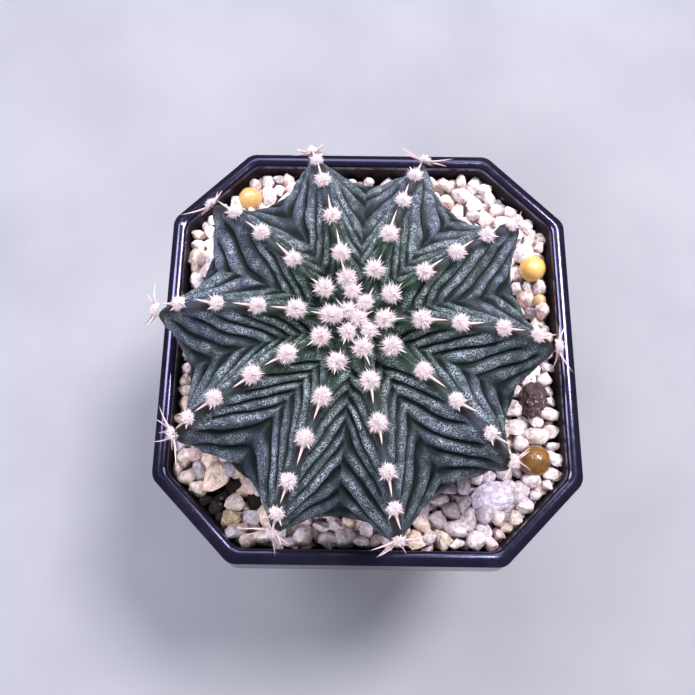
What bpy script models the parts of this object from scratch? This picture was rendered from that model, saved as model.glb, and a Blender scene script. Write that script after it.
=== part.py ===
"""A small round ribbed cactus in a thin black plastic nursery pot.

The pot is a square with chamfered corners that tapers to its base. It holds potting mix and,
on the mix, a bed of pumice with some loose stones and fertiliser prills. The cactus stands in
the bed with its taproot in the mix. Each areole on its ribs carries one tuft of wool and
spines, and the youngest areoles crowd together as the wool of the crown.

The origin is the middle of the pot's base. +Z is up and the front is at -Y.
"""

import math

import bmesh
import bpy
import numpy as np
from mathutils import Matrix, Vector

MM = 0.001
GAP = 0.3 * MM  # kept between pieces that touch

# Pot, as outer sizes at the lip
POT_WIDTH = 56 * MM
POT_DEPTH = 58 * MM
POT_HEIGHT = 50 * MM
CORNER_CUT = 10.6 * MM  # what each chamfer takes off a side
CORNER_RADIUS = 2.2 * MM
CORNER_STEPS = 3
TAPER = 7.5 * MM  # how far each side of the base stands in from the lip
WALL = 1.0 * MM
FLOOR = 1.2 * MM
LIP_WIDTH = 1.9 * MM
COLLAR_HEIGHT = 6.0 * MM
COLLAR_FLARE = 0.6 * MM
COLLAR_THICKNESS = 1.6 * MM
DRAIN_DIAMETER = 5.0 * MM
DRAIN_CIRCLE = 11.5 * MM  # radius that the drain holes' centres lie on
DRAIN_HOLES = 4

# Growing medium, as depths below the lip
MIX_DEPTH = 8.5 * MM
BED_DEPTH = 5.2 * MM
BED_BUMP = 0.4 * MM
BED_CLEARANCE = 0.4 * MM
BED_RINGS = 6

# Cactus
PLANT_X = -1.8 * MM  # it grew a little off the middle of the pot
PLANT_Y = -2.2 * MM
BODY_RADIUS = 26.8 * MM
BODY_RISE = 12.7 * MM  # from the widest part of the ribs to the crown
LIP_CLEARANCE = 3.2 * MM
CREST_POWER = 2.13  # exponents of the superellipse that a crest follows
CREST_FLATNESS = 0.35
CROWN_DIP = 0.8 * MM
CROWN_DIP_RADIUS = 3.5 * MM
NECK_RADIUS = 8 * MM
ROOT_LENGTH = 10 * MM
HEART_DEPTH = 6 * MM  # the grooves close in on a point this far below the widest part
GROOVE_AT_CROWN = 0.10
GROOVE_AT_EDGE = 0.145
GROOVE_START = 0.07  # share of the way out where the grooves have begun
STEPS_PER_HALF_RIB = 3
CREST_RINGS = 11
UNDERSIDE_RINGS = 6

# Each rib: azimuth in degrees, its reach as a share of BODY_RADIUS, how far out its
# areoles sit as shares of that reach, and how far out its woolly crown areole sits.
RIBS = (
    (-150.5, 0.930, (0.955, 0.850, 0.705, 0.515, 0.340), 0.18),
    (-112.0, 0.930, (0.970, 0.890, 0.750, 0.565, 0.380), 0.22),
    (-78.0, 0.930, (0.950, 0.820, 0.670, 0.470, 0.290), 0.14),
    (-39.0, 0.900, (0.955, 0.785, 0.580, 0.385), 0.21),
    (-1.5, 0.930, (0.970, 0.830, 0.660, 0.460, 0.290), 0.13),
    (36.0, 0.985, (0.985, 0.865, 0.710, 0.530, 0.355), 0.18),
    (70.0, 0.985, (0.975, 0.770, 0.600, 0.410), 0.23),
    (103.0, 1.000, (0.980, 0.820, 0.680, 0.480, 0.290), 0.18),
    (136.0, 0.985, (0.985, 0.760, 0.575, 0.375), 0.19),
    (172.5, 0.940, (0.960, 0.815, 0.625, 0.435, 0.265), 0.12),
)

# Areole tufts: half length along the crest, half width across it, half height of the wool
TUFT = (1.2 * MM, 1.1 * MM, 0.75 * MM)
TIP_TUFT = (1.0 * MM, 0.9 * MM, 0.65 * MM)
SPINE_THICKNESS = 0.35 * MM
# Each spine: direction out along the crest, across it and up from it, then its length
SPINES = (
    ((0.85, 0.0, 0.53), 2.4 * MM),
    ((0.30, 0.85, 0.43), 1.9 * MM),
    ((0.30, -0.85, 0.43), 1.9 * MM),
)
TIP_SPINES = (
    ((0.97, 0.0, 0.25), 3.8 * MM),
    ((0.66, 0.70, 0.28), 3.6 * MM),
    ((0.66, -0.70, 0.28), 3.6 * MM),
    ((0.05, 0.93, 0.35), 3.2 * MM),
    ((0.05, -0.93, 0.35), 3.2 * MM),
)

# Crown wool
CROWN_THICKNESS = 0.45 * MM
CROWN_TUFT_HEIGHT = 0.9 * MM
CROWN_TUFT_RADIUS = 0.95 * MM
CROWN_MARGIN = 0.9 * MM
CROWN_RINGS = 5

# Loose pieces on the bed: azimuth from the plant in degrees, free space to the pot's wall,
# half sizes (across the azimuth's ray, along it, up), turn in degrees, roughness of the
# surface, and colour.
LOOSE_PIECES = {
    "fertiliser_prill_1": (29.5, 0.3, (1.95, 1.95, 1.85), 0, 0.0, (0.80, 0.53, 0.17)),
    "fertiliser_prill_2": (122.0, 0.3, (1.80, 1.80, 1.70), 0, 0.0, (0.83, 0.62, 0.38)),
    "fertiliser_prill_3": (-28.5, 1.5, (2.15, 2.15, 2.05), 0, 0.0, (0.42, 0.22, 0.07)),
    "fertiliser_prill_4": (20.5, 0.3, (1.00, 1.00, 1.00), 0, 0.0, (0.74, 0.53, 0.33)),
    "lava_stone": (-11.2, 1.1, (2.80, 2.15, 1.75), 0, 0.14, (0.16, 0.09, 0.09)),
    "large_pumice_stone": (-44.0, 1.6, (3.20, 2.10, 1.60), -36, 0.12, (0.72, 0.68, 0.80)),
    "tan_stone": (-138.9, 1.4, (1.80, 2.40, 1.60), 20, 0.12, (0.68, 0.58, 0.47)),
    "brown_stone": (-127.0, 0.3, (1.70, 1.60, 1.30), 0, 0.16, (0.42, 0.34, 0.25)),
}

BLACK_PLASTIC = (0.012, 0.012, 0.016)
DARK_MIX = (0.035, 0.022, 0.016)
PALE_PUMICE = (0.74, 0.69, 0.68)
CACTUS_GREEN = (0.055, 0.085, 0.075)
WOOL_WHITE = (0.86, 0.80, 0.80)


def clear_scene():
    for obj in list(bpy.data.objects):
        bpy.data.objects.remove(obj, do_unlink=True)


def material(name, colour, roughness):
    made = bpy.data.materials.new(name)
    made.use_nodes = True
    shader = made.node_tree.nodes["Principled BSDF"]
    shader.inputs["Base Color"].default_value = (*colour, 1)
    shader.inputs["Roughness"].default_value = roughness
    shader.inputs["Metallic"].default_value = 0
    return made


def add_object(name, mesh, finish=None):
    if finish:
        mesh.materials.append(finish)
    made = bpy.data.objects.new(name, mesh)
    bpy.context.scene.collection.objects.link(made)
    return made


def loft(name, rings, finish, loop=False, smooth=True):
    """One closed body through rings of equal length. Its ends close with flat caps,
    or the last ring joins the first when loop is set. A ring of one point is a pole."""
    body = bmesh.new()
    made = [[body.verts.new(point) for point in ring] for ring in rings]
    pairs = list(zip(made, made[1:]))
    if loop:
        pairs.append((made[-1], made[0]))
    for lower, upper in pairs:
        count = max(len(lower), len(upper))
        for i in range(count):
            j = (i + 1) % count
            corners = [lower[i % len(lower)], lower[j % len(lower)]]
            corners += [upper[j % len(upper)], upper[i % len(upper)]]
            body.faces.new(list(dict.fromkeys(corners)))
    if not loop:
        for end in (made[0], made[-1]):
            if len(end) > 2:
                body.faces.new(end)
    bmesh.ops.recalc_face_normals(body, faces=body.faces[:])
    if body.calc_volume(signed=True) < 0:
        bmesh.ops.reverse_faces(body, faces=body.faces[:])
    mesh = bpy.data.meshes.new(name)
    body.to_mesh(mesh)
    body.free()
    if smooth:
        mesh.shade_smooth()
        mesh.set_sharp_from_angle(angle=math.radians(35))
    return add_object(name, mesh, finish)


# ---- The pot's outline ----------------------------------------------------------------


def half_planes(inset):
    """Normals and distances of the outline's eight sides, moved inward by inset."""
    angles = np.arange(8) * math.pi / 4
    normals = np.stack([np.cos(angles), np.sin(angles)], axis=1)
    half_x = POT_WIDTH / 2
    half_y = POT_DEPTH / 2
    chamfer = (half_x + half_y - CORNER_CUT) / math.sqrt(2)
    return normals, np.array([half_x, chamfer, half_y, chamfer] * 2) - inset


def reach(azimuth, inset):
    """Distance from the plant's axis out to the outline, along each azimuth."""
    normals, distances = half_planes(inset)
    ray = np.stack([np.cos(azimuth), np.sin(azimuth)])
    along = normals @ ray
    room = (distances - normals @ np.array([PLANT_X, PLANT_Y])).reshape(8, *[1] * (along.ndim - 1))
    return np.where(along > 1e-6, room / np.maximum(along, 1e-6), np.inf).min(axis=0)


def outline(inset, z):
    """The rounded outline as a ring of points about the middle of the pot."""
    normals, distances = half_planes(inset)
    centres = distances - CORNER_RADIUS
    points = []
    for side in range(8):
        after = (side + 1) % 8
        pair = np.array([normals[side], normals[after]])
        corner = np.linalg.solve(pair, [centres[side], centres[after]])
        for step in range(CORNER_STEPS + 1):
            angle = (side + step / CORNER_STEPS) * math.pi / 4
            x = corner[0] + CORNER_RADIUS * math.cos(angle)
            y = corner[1] + CORNER_RADIUS * math.sin(angle)
            points.append((x, y, z))
    return points


COLLAR_Z = POT_HEIGHT - COLLAR_HEIGHT
STEP_INSET = COLLAR_THICKNESS - COLLAR_FLARE + WALL  # inner face just below the collar
LIP_EDGE = 0.5 * MM
LIP_ROUND = 0.15 * MM


def outer_inset(z):
    """How far the tapered wall's outer face stands in from the lip."""
    top = STEP_INSET - WALL
    return TAPER + (top - TAPER) * z / COLLAR_Z


INNER_WALL = (  # inset and height of the inner face, top to bottom
    (LIP_WIDTH, POT_HEIGHT - LIP_EDGE),
    (LIP_WIDTH + 0.1 * MM, COLLAR_Z + 0.5 * MM),
    (outer_inset(COLLAR_Z - WALL) + WALL, COLLAR_Z - WALL),
    (outer_inset(2 * FLOOR) + WALL, 2 * FLOOR),
    (outer_inset(FLOOR) + 2 * WALL, FLOOR),
)


def inner_inset(z):
    insets, heights = zip(*reversed(INNER_WALL))
    return np.interp(z, heights, insets)


def make_pot(finish):
    profile = [
        (TAPER + LIP_EDGE, 0),
        (TAPER, LIP_EDGE),
        (outer_inset(COLLAR_Z), COLLAR_Z),
        (LIP_ROUND - COLLAR_FLARE, COLLAR_Z),
        (-COLLAR_FLARE, COLLAR_Z + LIP_ROUND),
        (0, POT_HEIGHT - LIP_EDGE),
        (LIP_ROUND, POT_HEIGHT - LIP_ROUND),
        (LIP_EDGE, POT_HEIGHT),
        (LIP_WIDTH - LIP_EDGE, POT_HEIGHT),
        (LIP_WIDTH - LIP_ROUND, POT_HEIGHT - LIP_ROUND),
        *INNER_WALL,
    ]
    pot = loft("pot", [outline(inset, z) for inset, z in profile], finish)
    for hole in range(DRAIN_HOLES):
        angle = (hole + 0.5) * 2 * math.pi / DRAIN_HOLES
        centre = Vector((DRAIN_CIRCLE * math.cos(angle), DRAIN_CIRCLE * math.sin(angle), 0))
        drill = bmesh.new()
        bmesh.ops.create_cone(
            drill,
            cap_ends=True,
            segments=16,
            radius1=DRAIN_DIAMETER / 2,
            radius2=DRAIN_DIAMETER / 2,
            depth=4 * FLOOR,
            matrix=Matrix.Translation(centre),
        )
        mesh = bpy.data.meshes.new("drain_drill")
        drill.to_mesh(mesh)
        drill.free()
        cutter = add_object(f"drain_drill_{hole + 1}", mesh)
        cutter.hide_render = True
        cutter.display_type = "WIRE"
        cut = pot.modifiers.new(f"drain_{hole + 1}", "BOOLEAN")
        cut.operation = "DIFFERENCE"
        cut.object = cutter
        cut.solver = "EXACT"
    return pot


# ---- The cactus body ------------------------------------------------------------------

RIB_AZIMUTHS = np.radians([rib[0] for rib in RIBS])
RIB_REACHES = np.array([rib[1] for rib in RIBS])
MIX_Z = POT_HEIGHT - MIX_DEPTH
BED_Z = POT_HEIGHT - BED_DEPTH
NECK_Z = MIX_Z - GAP
NECK_SHARE = NECK_RADIUS / BODY_RADIUS


def widest_height():
    """Height of the ribs' widest part. The underside is a paraboloid from the neck out to
    the ribs, and it has to pass inside the lip, so longer ribs lift the body higher."""
    mouth = reach(RIB_AZIMUTHS, LIP_WIDTH + GAP) / (BODY_RADIUS * RIB_REACHES)
    overhang = 1 - min(mouth.min(), 1.0) ** 2
    ratio = overhang / (1 - NECK_SHARE**2)
    return (POT_HEIGHT + LIP_CLEARANCE - ratio * NECK_Z) / (1 - ratio)


EQUATOR_Z = widest_height()
UNDERSIDE_DEPTH = (EQUATOR_Z - NECK_Z) / (1 - NECK_SHARE**2)


def crest_height(share, radius):
    """Height of a crest that is share of the way out: a superellipse with a dipped crown."""
    arch = np.maximum(1 - share**CREST_POWER, 0) ** CREST_FLATNESS
    dip = CROWN_DIP * np.exp(-((radius / CROWN_DIP_RADIUS) ** 2))
    return EQUATOR_Z + BODY_RISE * arch - dip


def column_layout():
    """Azimuth, offset from the crest (0) to the groove (1) and reach of each column."""
    azimuths = []
    offsets = []
    reaches = []
    count = len(RIBS)
    for rib in range(count):
        here = RIB_AZIMUTHS[rib]
        for side in (-1, 1):
            beside = (rib + side) % count
            turn = math.remainder(RIB_AZIMUTHS[beside] - here, 2 * math.pi)
            steps = range(STEPS_PER_HALF_RIB)
            for step in steps if side > 0 else reversed(steps):
                offset = (step if side > 0 else step + 1) / STEPS_PER_HALF_RIB
                azimuths.append(here + turn * offset / 2)
                offsets.append(offset)
                near = 1 - offset / 2
                reaches.append(RIB_REACHES[rib] * near + RIB_REACHES[beside] * (1 - near))
    return np.array(azimuths), np.array(offsets), np.array(reaches)


AZIMUTHS, OFFSETS, REACHES = column_layout()
COLUMNS = len(AZIMUTHS)


def grooved(radius, height, share, depth_share):
    """Pulls points of a crest in towards the heart, by the groove's depth at each column."""
    heart = EQUATOR_Z - HEART_DEPTH
    power = 1.3 + 0.7 * share
    depth = (GROOVE_AT_CROWN + (GROOVE_AT_EDGE - GROOVE_AT_CROWN) * share) * depth_share
    depth = depth * (1 - math.exp(-((share / GROOVE_START) ** 2)))
    keep = 1 - depth * (1 - (1 - OFFSETS) ** power)
    return radius * keep, heart + (height - heart) * keep


def upper_ring(share):
    radius = BODY_RADIUS * REACHES * share
    return grooved(radius, crest_height(share, radius), share, 1.0)


def under_ring(share):
    out = (share - NECK_SHARE) / (1 - NECK_SHARE)
    radius = BODY_RADIUS * (1 + (REACHES - 1) * out) * share
    height = np.full(COLUMNS, EQUATOR_Z - UNDERSIDE_DEPTH * (1 - share**2))
    return grooved(radius, height, share, out)


def body_rings():
    """Radius and height of every ring of the body, from the crown down to the root."""
    rings = [upper_ring(GROOVE_START)]
    for step in range(1, CREST_RINGS + 1):
        rings.append(upper_ring(math.sin(step / CREST_RINGS * math.pi / 2)))
    for step in range(1, UNDERSIDE_RINGS + 1):
        rings.append(under_ring(1 - (1 - NECK_SHARE) * step / UNDERSIDE_RINGS))
    for narrow, deep in ((0.75, 0.25), (0.4, 0.65)):
        radius = np.full(COLUMNS, NECK_RADIUS * narrow)
        rings.append((radius, np.full(COLUMNS, NECK_Z - ROOT_LENGTH * deep)))
    return rings


BODY_RINGS = body_rings()
TOP_Z = EQUATOR_Z + BODY_RISE - CROWN_DIP


def around_plant(radius, height):
    """A ring of points about the plant's axis, one for each column."""
    x = PLANT_X + radius * np.cos(AZIMUTHS)
    y = PLANT_Y + radius * np.sin(AZIMUTHS)
    return np.stack([x, y, np.broadcast_to(height, x.shape)], axis=1)


def on_axis(height):
    return [(PLANT_X, PLANT_Y, height)]


def body_radius_at(z):
    """The body's radius at a height in the bed or the mix, for each column."""
    radii = np.array([ring[0] for ring in BODY_RINGS[CREST_RINGS:]])
    heights = np.array([ring[1] for ring in BODY_RINGS[CREST_RINGS:]])
    columns = range(COLUMNS)
    return np.array([np.interp(z, heights[::-1, i], radii[::-1, i]) for i in columns])


def make_body(finish):
    rings = [on_axis(TOP_Z)]
    rings += [around_plant(radius, height) for radius, height in BODY_RINGS]
    rings.append(on_axis(NECK_Z - ROOT_LENGTH))
    return loft("cactus_body", rings, finish)


# ---- Potting mix and bed --------------------------------------------------------------


def make_mix(finish):
    """The mix fills the pot up to MIX_Z, with a hole that fits the taproot."""
    hole = [
        (body_radius_at(MIX_Z) + GAP, MIX_Z),
        (NECK_RADIUS + GAP, NECK_Z - GAP),
        (BODY_RINGS[-2][0] + GAP, BODY_RINGS[-2][1]),
        (BODY_RINGS[-1][0] + GAP, BODY_RINGS[-1][1] - GAP),
    ]
    rings = [on_axis(NECK_Z - ROOT_LENGTH - 2 * GAP)]
    rings += [around_plant(radius, height) for radius, height in reversed(hole)]
    for z in (MIX_Z, COLLAR_Z - WALL, 2 * FLOOR, FLOOR + GAP):
        wall = reach(AZIMUTHS, inner_inset(z) + GAP)
        rings.append(around_plant(wall, z))
    rings.append(on_axis(FLOOR + GAP))
    return loft("potting_mix", rings, finish)


def make_bed(finish):
    """The pumice bed: a slab round the plant, open where the body passes through it."""
    rng = np.random.default_rng(7)
    low = MIX_Z + GAP
    inner = [(body_radius_at(z) + BED_CLEARANCE, z) for z in np.linspace(low, BED_Z, 5)]
    rings = [around_plant(radius, z) for radius, z in inner]
    near = inner[-1][0]
    far = reach(AZIMUTHS, inner_inset(BED_Z) + GAP)
    for step in range(1, BED_RINGS + 1):
        radius = near + (far - near) * step / BED_RINGS
        bump = BED_BUMP * rng.uniform(-1, 1, COLUMNS) * (step < BED_RINGS)
        rings.append(around_plant(radius, BED_Z + bump))
    rings.append(around_plant(reach(AZIMUTHS, inner_inset(low) + GAP), low))
    return loft("pumice_topdressing", rings, finish, loop=True)


def make_loose_piece(name, azimuth, free, half_sizes, turn, rough, colour):
    """A stone or a prill that rests on the bed near the wall."""
    across, along, up = (size * MM for size in half_sizes)
    seat = BED_Z + BED_BUMP + GAP
    angle = math.radians(azimuth)
    widest = max(across, along) if turn else along
    inset = inner_inset(seat) + free * MM + widest
    distance = float(reach(np.array([angle]), inset)[0])
    stone = bmesh.new()
    bmesh.ops.create_icosphere(stone, subdivisions=2, radius=1)
    rng = np.random.default_rng(sum(name.encode()))
    for vert in stone.verts:
        vert.co *= 1 - rough * rng.uniform(0, 1)
    mesh = bpy.data.meshes.new(name)
    stone.to_mesh(mesh)
    stone.free()
    mesh.transform(Matrix.Diagonal((along, across, up, 1)))
    if rough == 0:
        mesh.shade_smooth()
    finish = material(f"{name}_finish", colour, 0.35 if rough == 0 else 0.9)
    made = add_object(name, mesh, finish)
    x = PLANT_X + distance * math.cos(angle)
    y = PLANT_Y + distance * math.sin(angle)
    made.location = (x, y, seat + up)
    made.rotation_euler = (0, 0, angle + math.radians(turn))
    return made


# ---- Areoles and crown ----------------------------------------------------------------


def tuft_mesh(name, half_sizes, spines, finish):
    """A cushion of wool with spines drawn out of its faces. Locally x runs out along the
    crest, y across it and z up from it."""
    tuft = bmesh.new()
    bmesh.ops.create_uvsphere(tuft, u_segments=8, v_segments=4, radius=1)
    bmesh.ops.scale(tuft, vec=half_sizes, verts=tuft.verts[:])
    tuft.normal_update()
    for direction, length in spines:
        aim = Vector(direction).normalized()
        face = max(tuft.faces, key=lambda each: each.normal.dot(aim))
        for share, width in ((0.6, SPINE_THICKNESS), (1.0, 0)):
            face = bmesh.ops.extrude_discrete_faces(tuft, faces=[face])["faces"][0]
            middle = face.calc_center_median()
            spread = max((vert.co - middle).length for vert in face.verts)
            target = aim * length * share
            for vert in face.verts:
                vert.co = target + (vert.co - middle) * (width / 2 / spread)
        bmesh.ops.pointmerge(tuft, verts=face.verts[:], merge_co=target)
        tuft.normal_update()
    mesh = bpy.data.meshes.new(name)
    tuft.to_mesh(mesh)
    tuft.free()
    mesh.materials.append(finish)
    mesh.shade_smooth()
    return mesh


def crest_frame(rib, share):
    """Point on a rib's crest, with its directions out along it, across it and up from it."""
    azimuth = RIB_AZIMUTHS[rib]
    across = Vector((-math.sin(azimuth), math.cos(azimuth), 0))
    points = []
    for at in (share - 0.01, share, min(share + 0.01, 0.9999)):
        radius = BODY_RADIUS * RIB_REACHES[rib] * at
        height = float(crest_height(at, radius))
        x = PLANT_X + radius * math.cos(azimuth)
        y = PLANT_Y + radius * math.sin(azimuth)
        points.append(Vector((x, y, height)))
    along = (points[2] - points[0]).normalized()
    return points[1], along, across, along.cross(across)


def make_areoles(finish):
    tuft = tuft_mesh("areole_tuft", TUFT, SPINES, finish)
    tip_tuft = tuft_mesh("areole_tip_tuft", TIP_TUFT, TIP_SPINES, finish)
    for rib, (_, _, shares, _) in enumerate(RIBS):
        for number, share in enumerate(shares, start=1):
            is_tip = number == 1
            point, along, across, up = crest_frame(rib, share)
            lift = (TIP_TUFT if is_tip else TUFT)[2] + GAP
            made = add_object(f"areole_{rib + 1}_{number}", tip_tuft if is_tip else tuft)
            turn = Matrix((along, across, up)).transposed().to_4x4()
            made.matrix_world = Matrix.Translation(point + up * lift) @ turn


def make_crown(finish):
    """Wool over the crown: a lobed pad that fills the grooves' ends, with one bump for each
    young areole. Its lobes reach just past the young areoles of the ribs."""
    edges = np.zeros(COLUMNS)
    tufts = [(CROWN_TUFT_RADIUS, turn * 2 * math.pi / 3) for turn in range(3)]
    for rib, (_, rib_reach, _, crown_share) in enumerate(RIBS):
        distance = BODY_RADIUS * rib_reach * crown_share
        facing = np.clip(np.cos(AZIMUTHS - RIB_AZIMUTHS[rib]), 0, 1)
        edges = np.maximum(edges, (distance + CROWN_MARGIN) * facing**4)
        tufts.append((distance, RIB_AZIMUTHS[rib]))
    radii = np.array([ring[0] for ring in BODY_RINGS[:CREST_RINGS]])
    heights = np.array([ring[1] for ring in BODY_RINGS[:CREST_RINGS]])
    radii = np.vstack([np.zeros(COLUMNS), radii])
    heights = np.vstack([np.full(COLUMNS, TOP_Z), heights])

    def skin_height(radius):
        return np.array([np.interp(radius[i], radii[:, i], heights[:, i]) for i in range(COLUMNS)])

    def wool_height(radius):
        """The crests' height over the grooves too, plus the pad and a bump per areole."""
        rise = CROWN_THICKNESS
        for distance, angle in tufts:
            turned = AZIMUTHS - angle
            gap_squared = radius**2 + distance**2 - 2 * radius * distance * np.cos(turned)
            rise = rise + CROWN_TUFT_HEIGHT * np.exp(-gap_squared / CROWN_TUFT_RADIUS**2)
        crest = crest_height(radius / (BODY_RADIUS * REACHES), radius)
        return np.maximum(crest, skin_height(radius)) + rise

    rings = [on_axis(TOP_Z + GAP)]
    for step in range(1, CROWN_RINGS + 1):
        radius = edges * step / CROWN_RINGS
        rings.append(around_plant(radius, skin_height(radius) + GAP))
    for step in range(CROWN_RINGS, 0, -1):
        radius = edges * step / CROWN_RINGS
        rings.append(around_plant(radius, wool_height(radius) + GAP))
    rings.append(on_axis(TOP_Z + GAP + CROWN_THICKNESS + CROWN_TUFT_HEIGHT))
    return loft("crown_wool", rings, finish)


def main():
    clear_scene()
    wool = material("areole_wool_and_spines", WOOL_WHITE, 0.95)
    make_pot(material("black_pot_plastic", BLACK_PLASTIC, 0.4))
    make_mix(material("dark_potting_mix", DARK_MIX, 0.98))
    make_bed(material("pumice_grain", PALE_PUMICE, 0.92))
    make_body(material("cactus_skin", CACTUS_GREEN, 0.6))
    make_crown(material("crown_wool_fibre", WOOL_WHITE, 0.95))
    make_areoles(wool)
    for name, sizes in LOOSE_PIECES.items():
        make_loose_piece(name, *sizes)


main()
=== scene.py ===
"""A small round ribbed cactus in a black nursery pot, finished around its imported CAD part.

Run it as a script. It is laid out as an add-on: each operator makes one piece, or one group
of like pieces, from the sizes and colours in the property groups and the places that the
frame gives. All lengths are in metres.
"""

import math

import bpy
import numpy as np
from bpy.props import FloatProperty, FloatVectorProperty, IntProperty, PointerProperty
from bpy.types import Operator, Panel, PropertyGroup
from mathutils import Matrix, Vector


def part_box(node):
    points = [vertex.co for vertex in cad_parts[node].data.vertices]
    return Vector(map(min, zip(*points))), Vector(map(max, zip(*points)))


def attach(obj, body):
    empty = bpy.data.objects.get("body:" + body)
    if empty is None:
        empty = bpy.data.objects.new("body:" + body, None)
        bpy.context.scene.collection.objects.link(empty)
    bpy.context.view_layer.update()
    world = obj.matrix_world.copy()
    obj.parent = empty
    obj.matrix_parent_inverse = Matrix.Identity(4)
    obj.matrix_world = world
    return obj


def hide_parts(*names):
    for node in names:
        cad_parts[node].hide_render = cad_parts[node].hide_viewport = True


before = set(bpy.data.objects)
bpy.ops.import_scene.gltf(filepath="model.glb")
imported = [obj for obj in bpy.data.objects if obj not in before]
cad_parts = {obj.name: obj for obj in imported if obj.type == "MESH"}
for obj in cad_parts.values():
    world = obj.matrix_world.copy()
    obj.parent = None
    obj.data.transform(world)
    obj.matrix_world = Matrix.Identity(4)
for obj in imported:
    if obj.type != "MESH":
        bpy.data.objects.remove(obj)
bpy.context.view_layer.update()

bl_info = {
    "name": "Potted Round Cactus",
    "version": (1, 0, 0),
    "blender": (4, 5, 0),
    "location": "3D View > Sidebar > Cactus",
    "description": "Builds a ribbed cactus in a black nursery pot with a pumice top dressing",
    "category": "Add Mesh",
}

MM = 0.001


# ---- What the frame says --------------------------------------------------------------


def node_points(node):
    """The different corner points of a CAD node, as an (n, 3) array."""
    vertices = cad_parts[node].data.vertices
    points = np.empty(len(vertices) * 3, np.float32)
    vertices.foreach_get("co", points)
    return np.unique(np.round(points.reshape(-1, 3).astype(float), 7), axis=0)


POT_LOW, POT_HIGH = (np.array(corner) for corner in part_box("pot"))
RIM_Z = POT_HIGH[2]
MIX_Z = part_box("potting_mix")[1].z
BED_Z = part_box("pumice_topdressing")[1].z

BODY_POINTS = node_points("cactus_body")
AXIS = BODY_POINTS[BODY_POINTS[:, 2].argmin(), :2]  # the root's tip is on the axis
ROOT_Z = BODY_POINTS[:, 2].min()
TOP_Z = BODY_POINTS[:, 2].max()
BODY_RADII = np.hypot(*(BODY_POINTS[:, :2] - AXIS).T)
BODY_AZIMUTHS = np.arctan2(*(BODY_POINTS[:, :2] - AXIS).T[::-1])
BODY_RADIUS = BODY_RADII.max()
EQUATOR_Z = BODY_POINTS[BODY_RADII.argmax(), 2]

AREOLE_NODES = [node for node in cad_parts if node.startswith("areole_")]
RIB_COUNT = sum(node.endswith("_1") for node in AREOLE_NODES)


def rib_nodes(rib):
    """A rib's areole nodes, from its tip inwards."""
    start = f"areole_{rib + 1}_"
    names = [node for node in AREOLE_NODES if node.startswith(start)]
    return sorted(names, key=lambda name: int(name.removeprefix(start)))


def rib_azimuth(rib):
    x, y = node_points(rib_nodes(rib)[0])[:, :2].mean(axis=0) - AXIS
    return math.atan2(y, x)


def turned(angles):
    """Angles brought into the range from minus to plus half a turn."""
    return (np.asarray(angles) + math.pi) % (2 * math.pi) - math.pi


RIB_AZIMUTHS = np.array([rib_azimuth(rib) for rib in range(RIB_COUNT)])
RIB_REACHES = np.array(
    [BODY_RADII[np.abs(turned(BODY_AZIMUTHS - a)) < 0.01].max() / BODY_RADIUS for a in RIB_AZIMUTHS]
)


# ---- Settings -------------------------------------------------------------------------


def length(name, description, millimetres):
    default = millimetres * MM
    return FloatProperty(name=name, description=description, default=default, min=0, unit="LENGTH")


def factor(name, description, default, most=1.0):
    return FloatProperty(name=name, description=description, default=default, min=0, max=most)


def colour(name, description, default):
    return FloatVectorProperty(
        name=name, description=description, default=default, subtype="COLOR", size=3, min=0, max=1
    )


class PotSettings(PropertyGroup):
    corner_cut: length("Corner cut", "What each chamfer takes off a side", 10.6)
    corner_radius: length("Corner radius", "Rounding where two sides meet", 2.2)
    taper: length("Taper", "How far the base stands in from the lip", 7.5)
    wall: length("Wall", "Thickness of the tapered wall", 1.0)
    floor: length("Floor", "Thickness of the floor", 1.2)
    lip_width: length("Lip width", "Width of the lip, seen from above", 1.9)
    collar_height: length("Collar height", "Height of the collar below the lip", 6.0)
    collar_flare: length("Collar flare", "How far the collar's lower edge stands out", 0.6)
    drain_diameter: length("Drain diameter", "Diameter of each drain hole", 5.0)
    drain_circle: length("Drain circle", "Radius on which the drain holes lie", 11.5)
    plastic: colour("Plastic", "Colour of the moulded plastic", (0.007, 0.006, 0.014))
    residue: colour("Residue", "Colour of the dried splashes inside the wall", (0.030, 0.020, 0.018))


class PlantSettings(PropertyGroup):
    crown_dip: length("Crown dip", "How far the crown sinks in", 0.8)
    groove_at_crown: factor("Groove at crown", "Depth of the grooves near the crown", 0.10)
    groove_at_edge: factor("Groove at edge", "Depth of the grooves at the widest part", 0.152)
    ridges_per_areole: factor("Ridges per areole", "Cross ridges between two areoles", 1.35, 4.0)
    ridge_height: length("Ridge height", "Height of the cross ridges on each flank", 0.95)
    ridge_sweep: factor("Ridge sweep", "How far the ridges lean to the crown in a groove", 0.31)
    bump_height: length("Bump height", "Swelling of the crest under each areole", 0.45)
    # Painted shade: the near-black colour that the skin takes down in the furrows and grooves
    furrow_shade: colour("Furrow", "Skin colour down in the furrows", (0.004, 0.008, 0.008))
    skin: colour("Skin", "Skin colour on the ridges", (0.022, 0.034, 0.038))
    young_skin: colour("Young skin", "Greener skin near the crown", (0.016, 0.036, 0.018))
    violet: colour("Violet", "Violet bloom on the flanks", (0.034, 0.036, 0.080))
    # Real reddish brown of the old crests, also used as painted shadow of the spines on the crest and
    # just outside each areole
    brown_and_shadow: colour("Brown", "Reddish brown on the old crests", (0.016, 0.010, 0.009))
    bloom: colour("Bloom", "Silvery speckles of the skin", (0.37, 0.42, 0.49))


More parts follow.
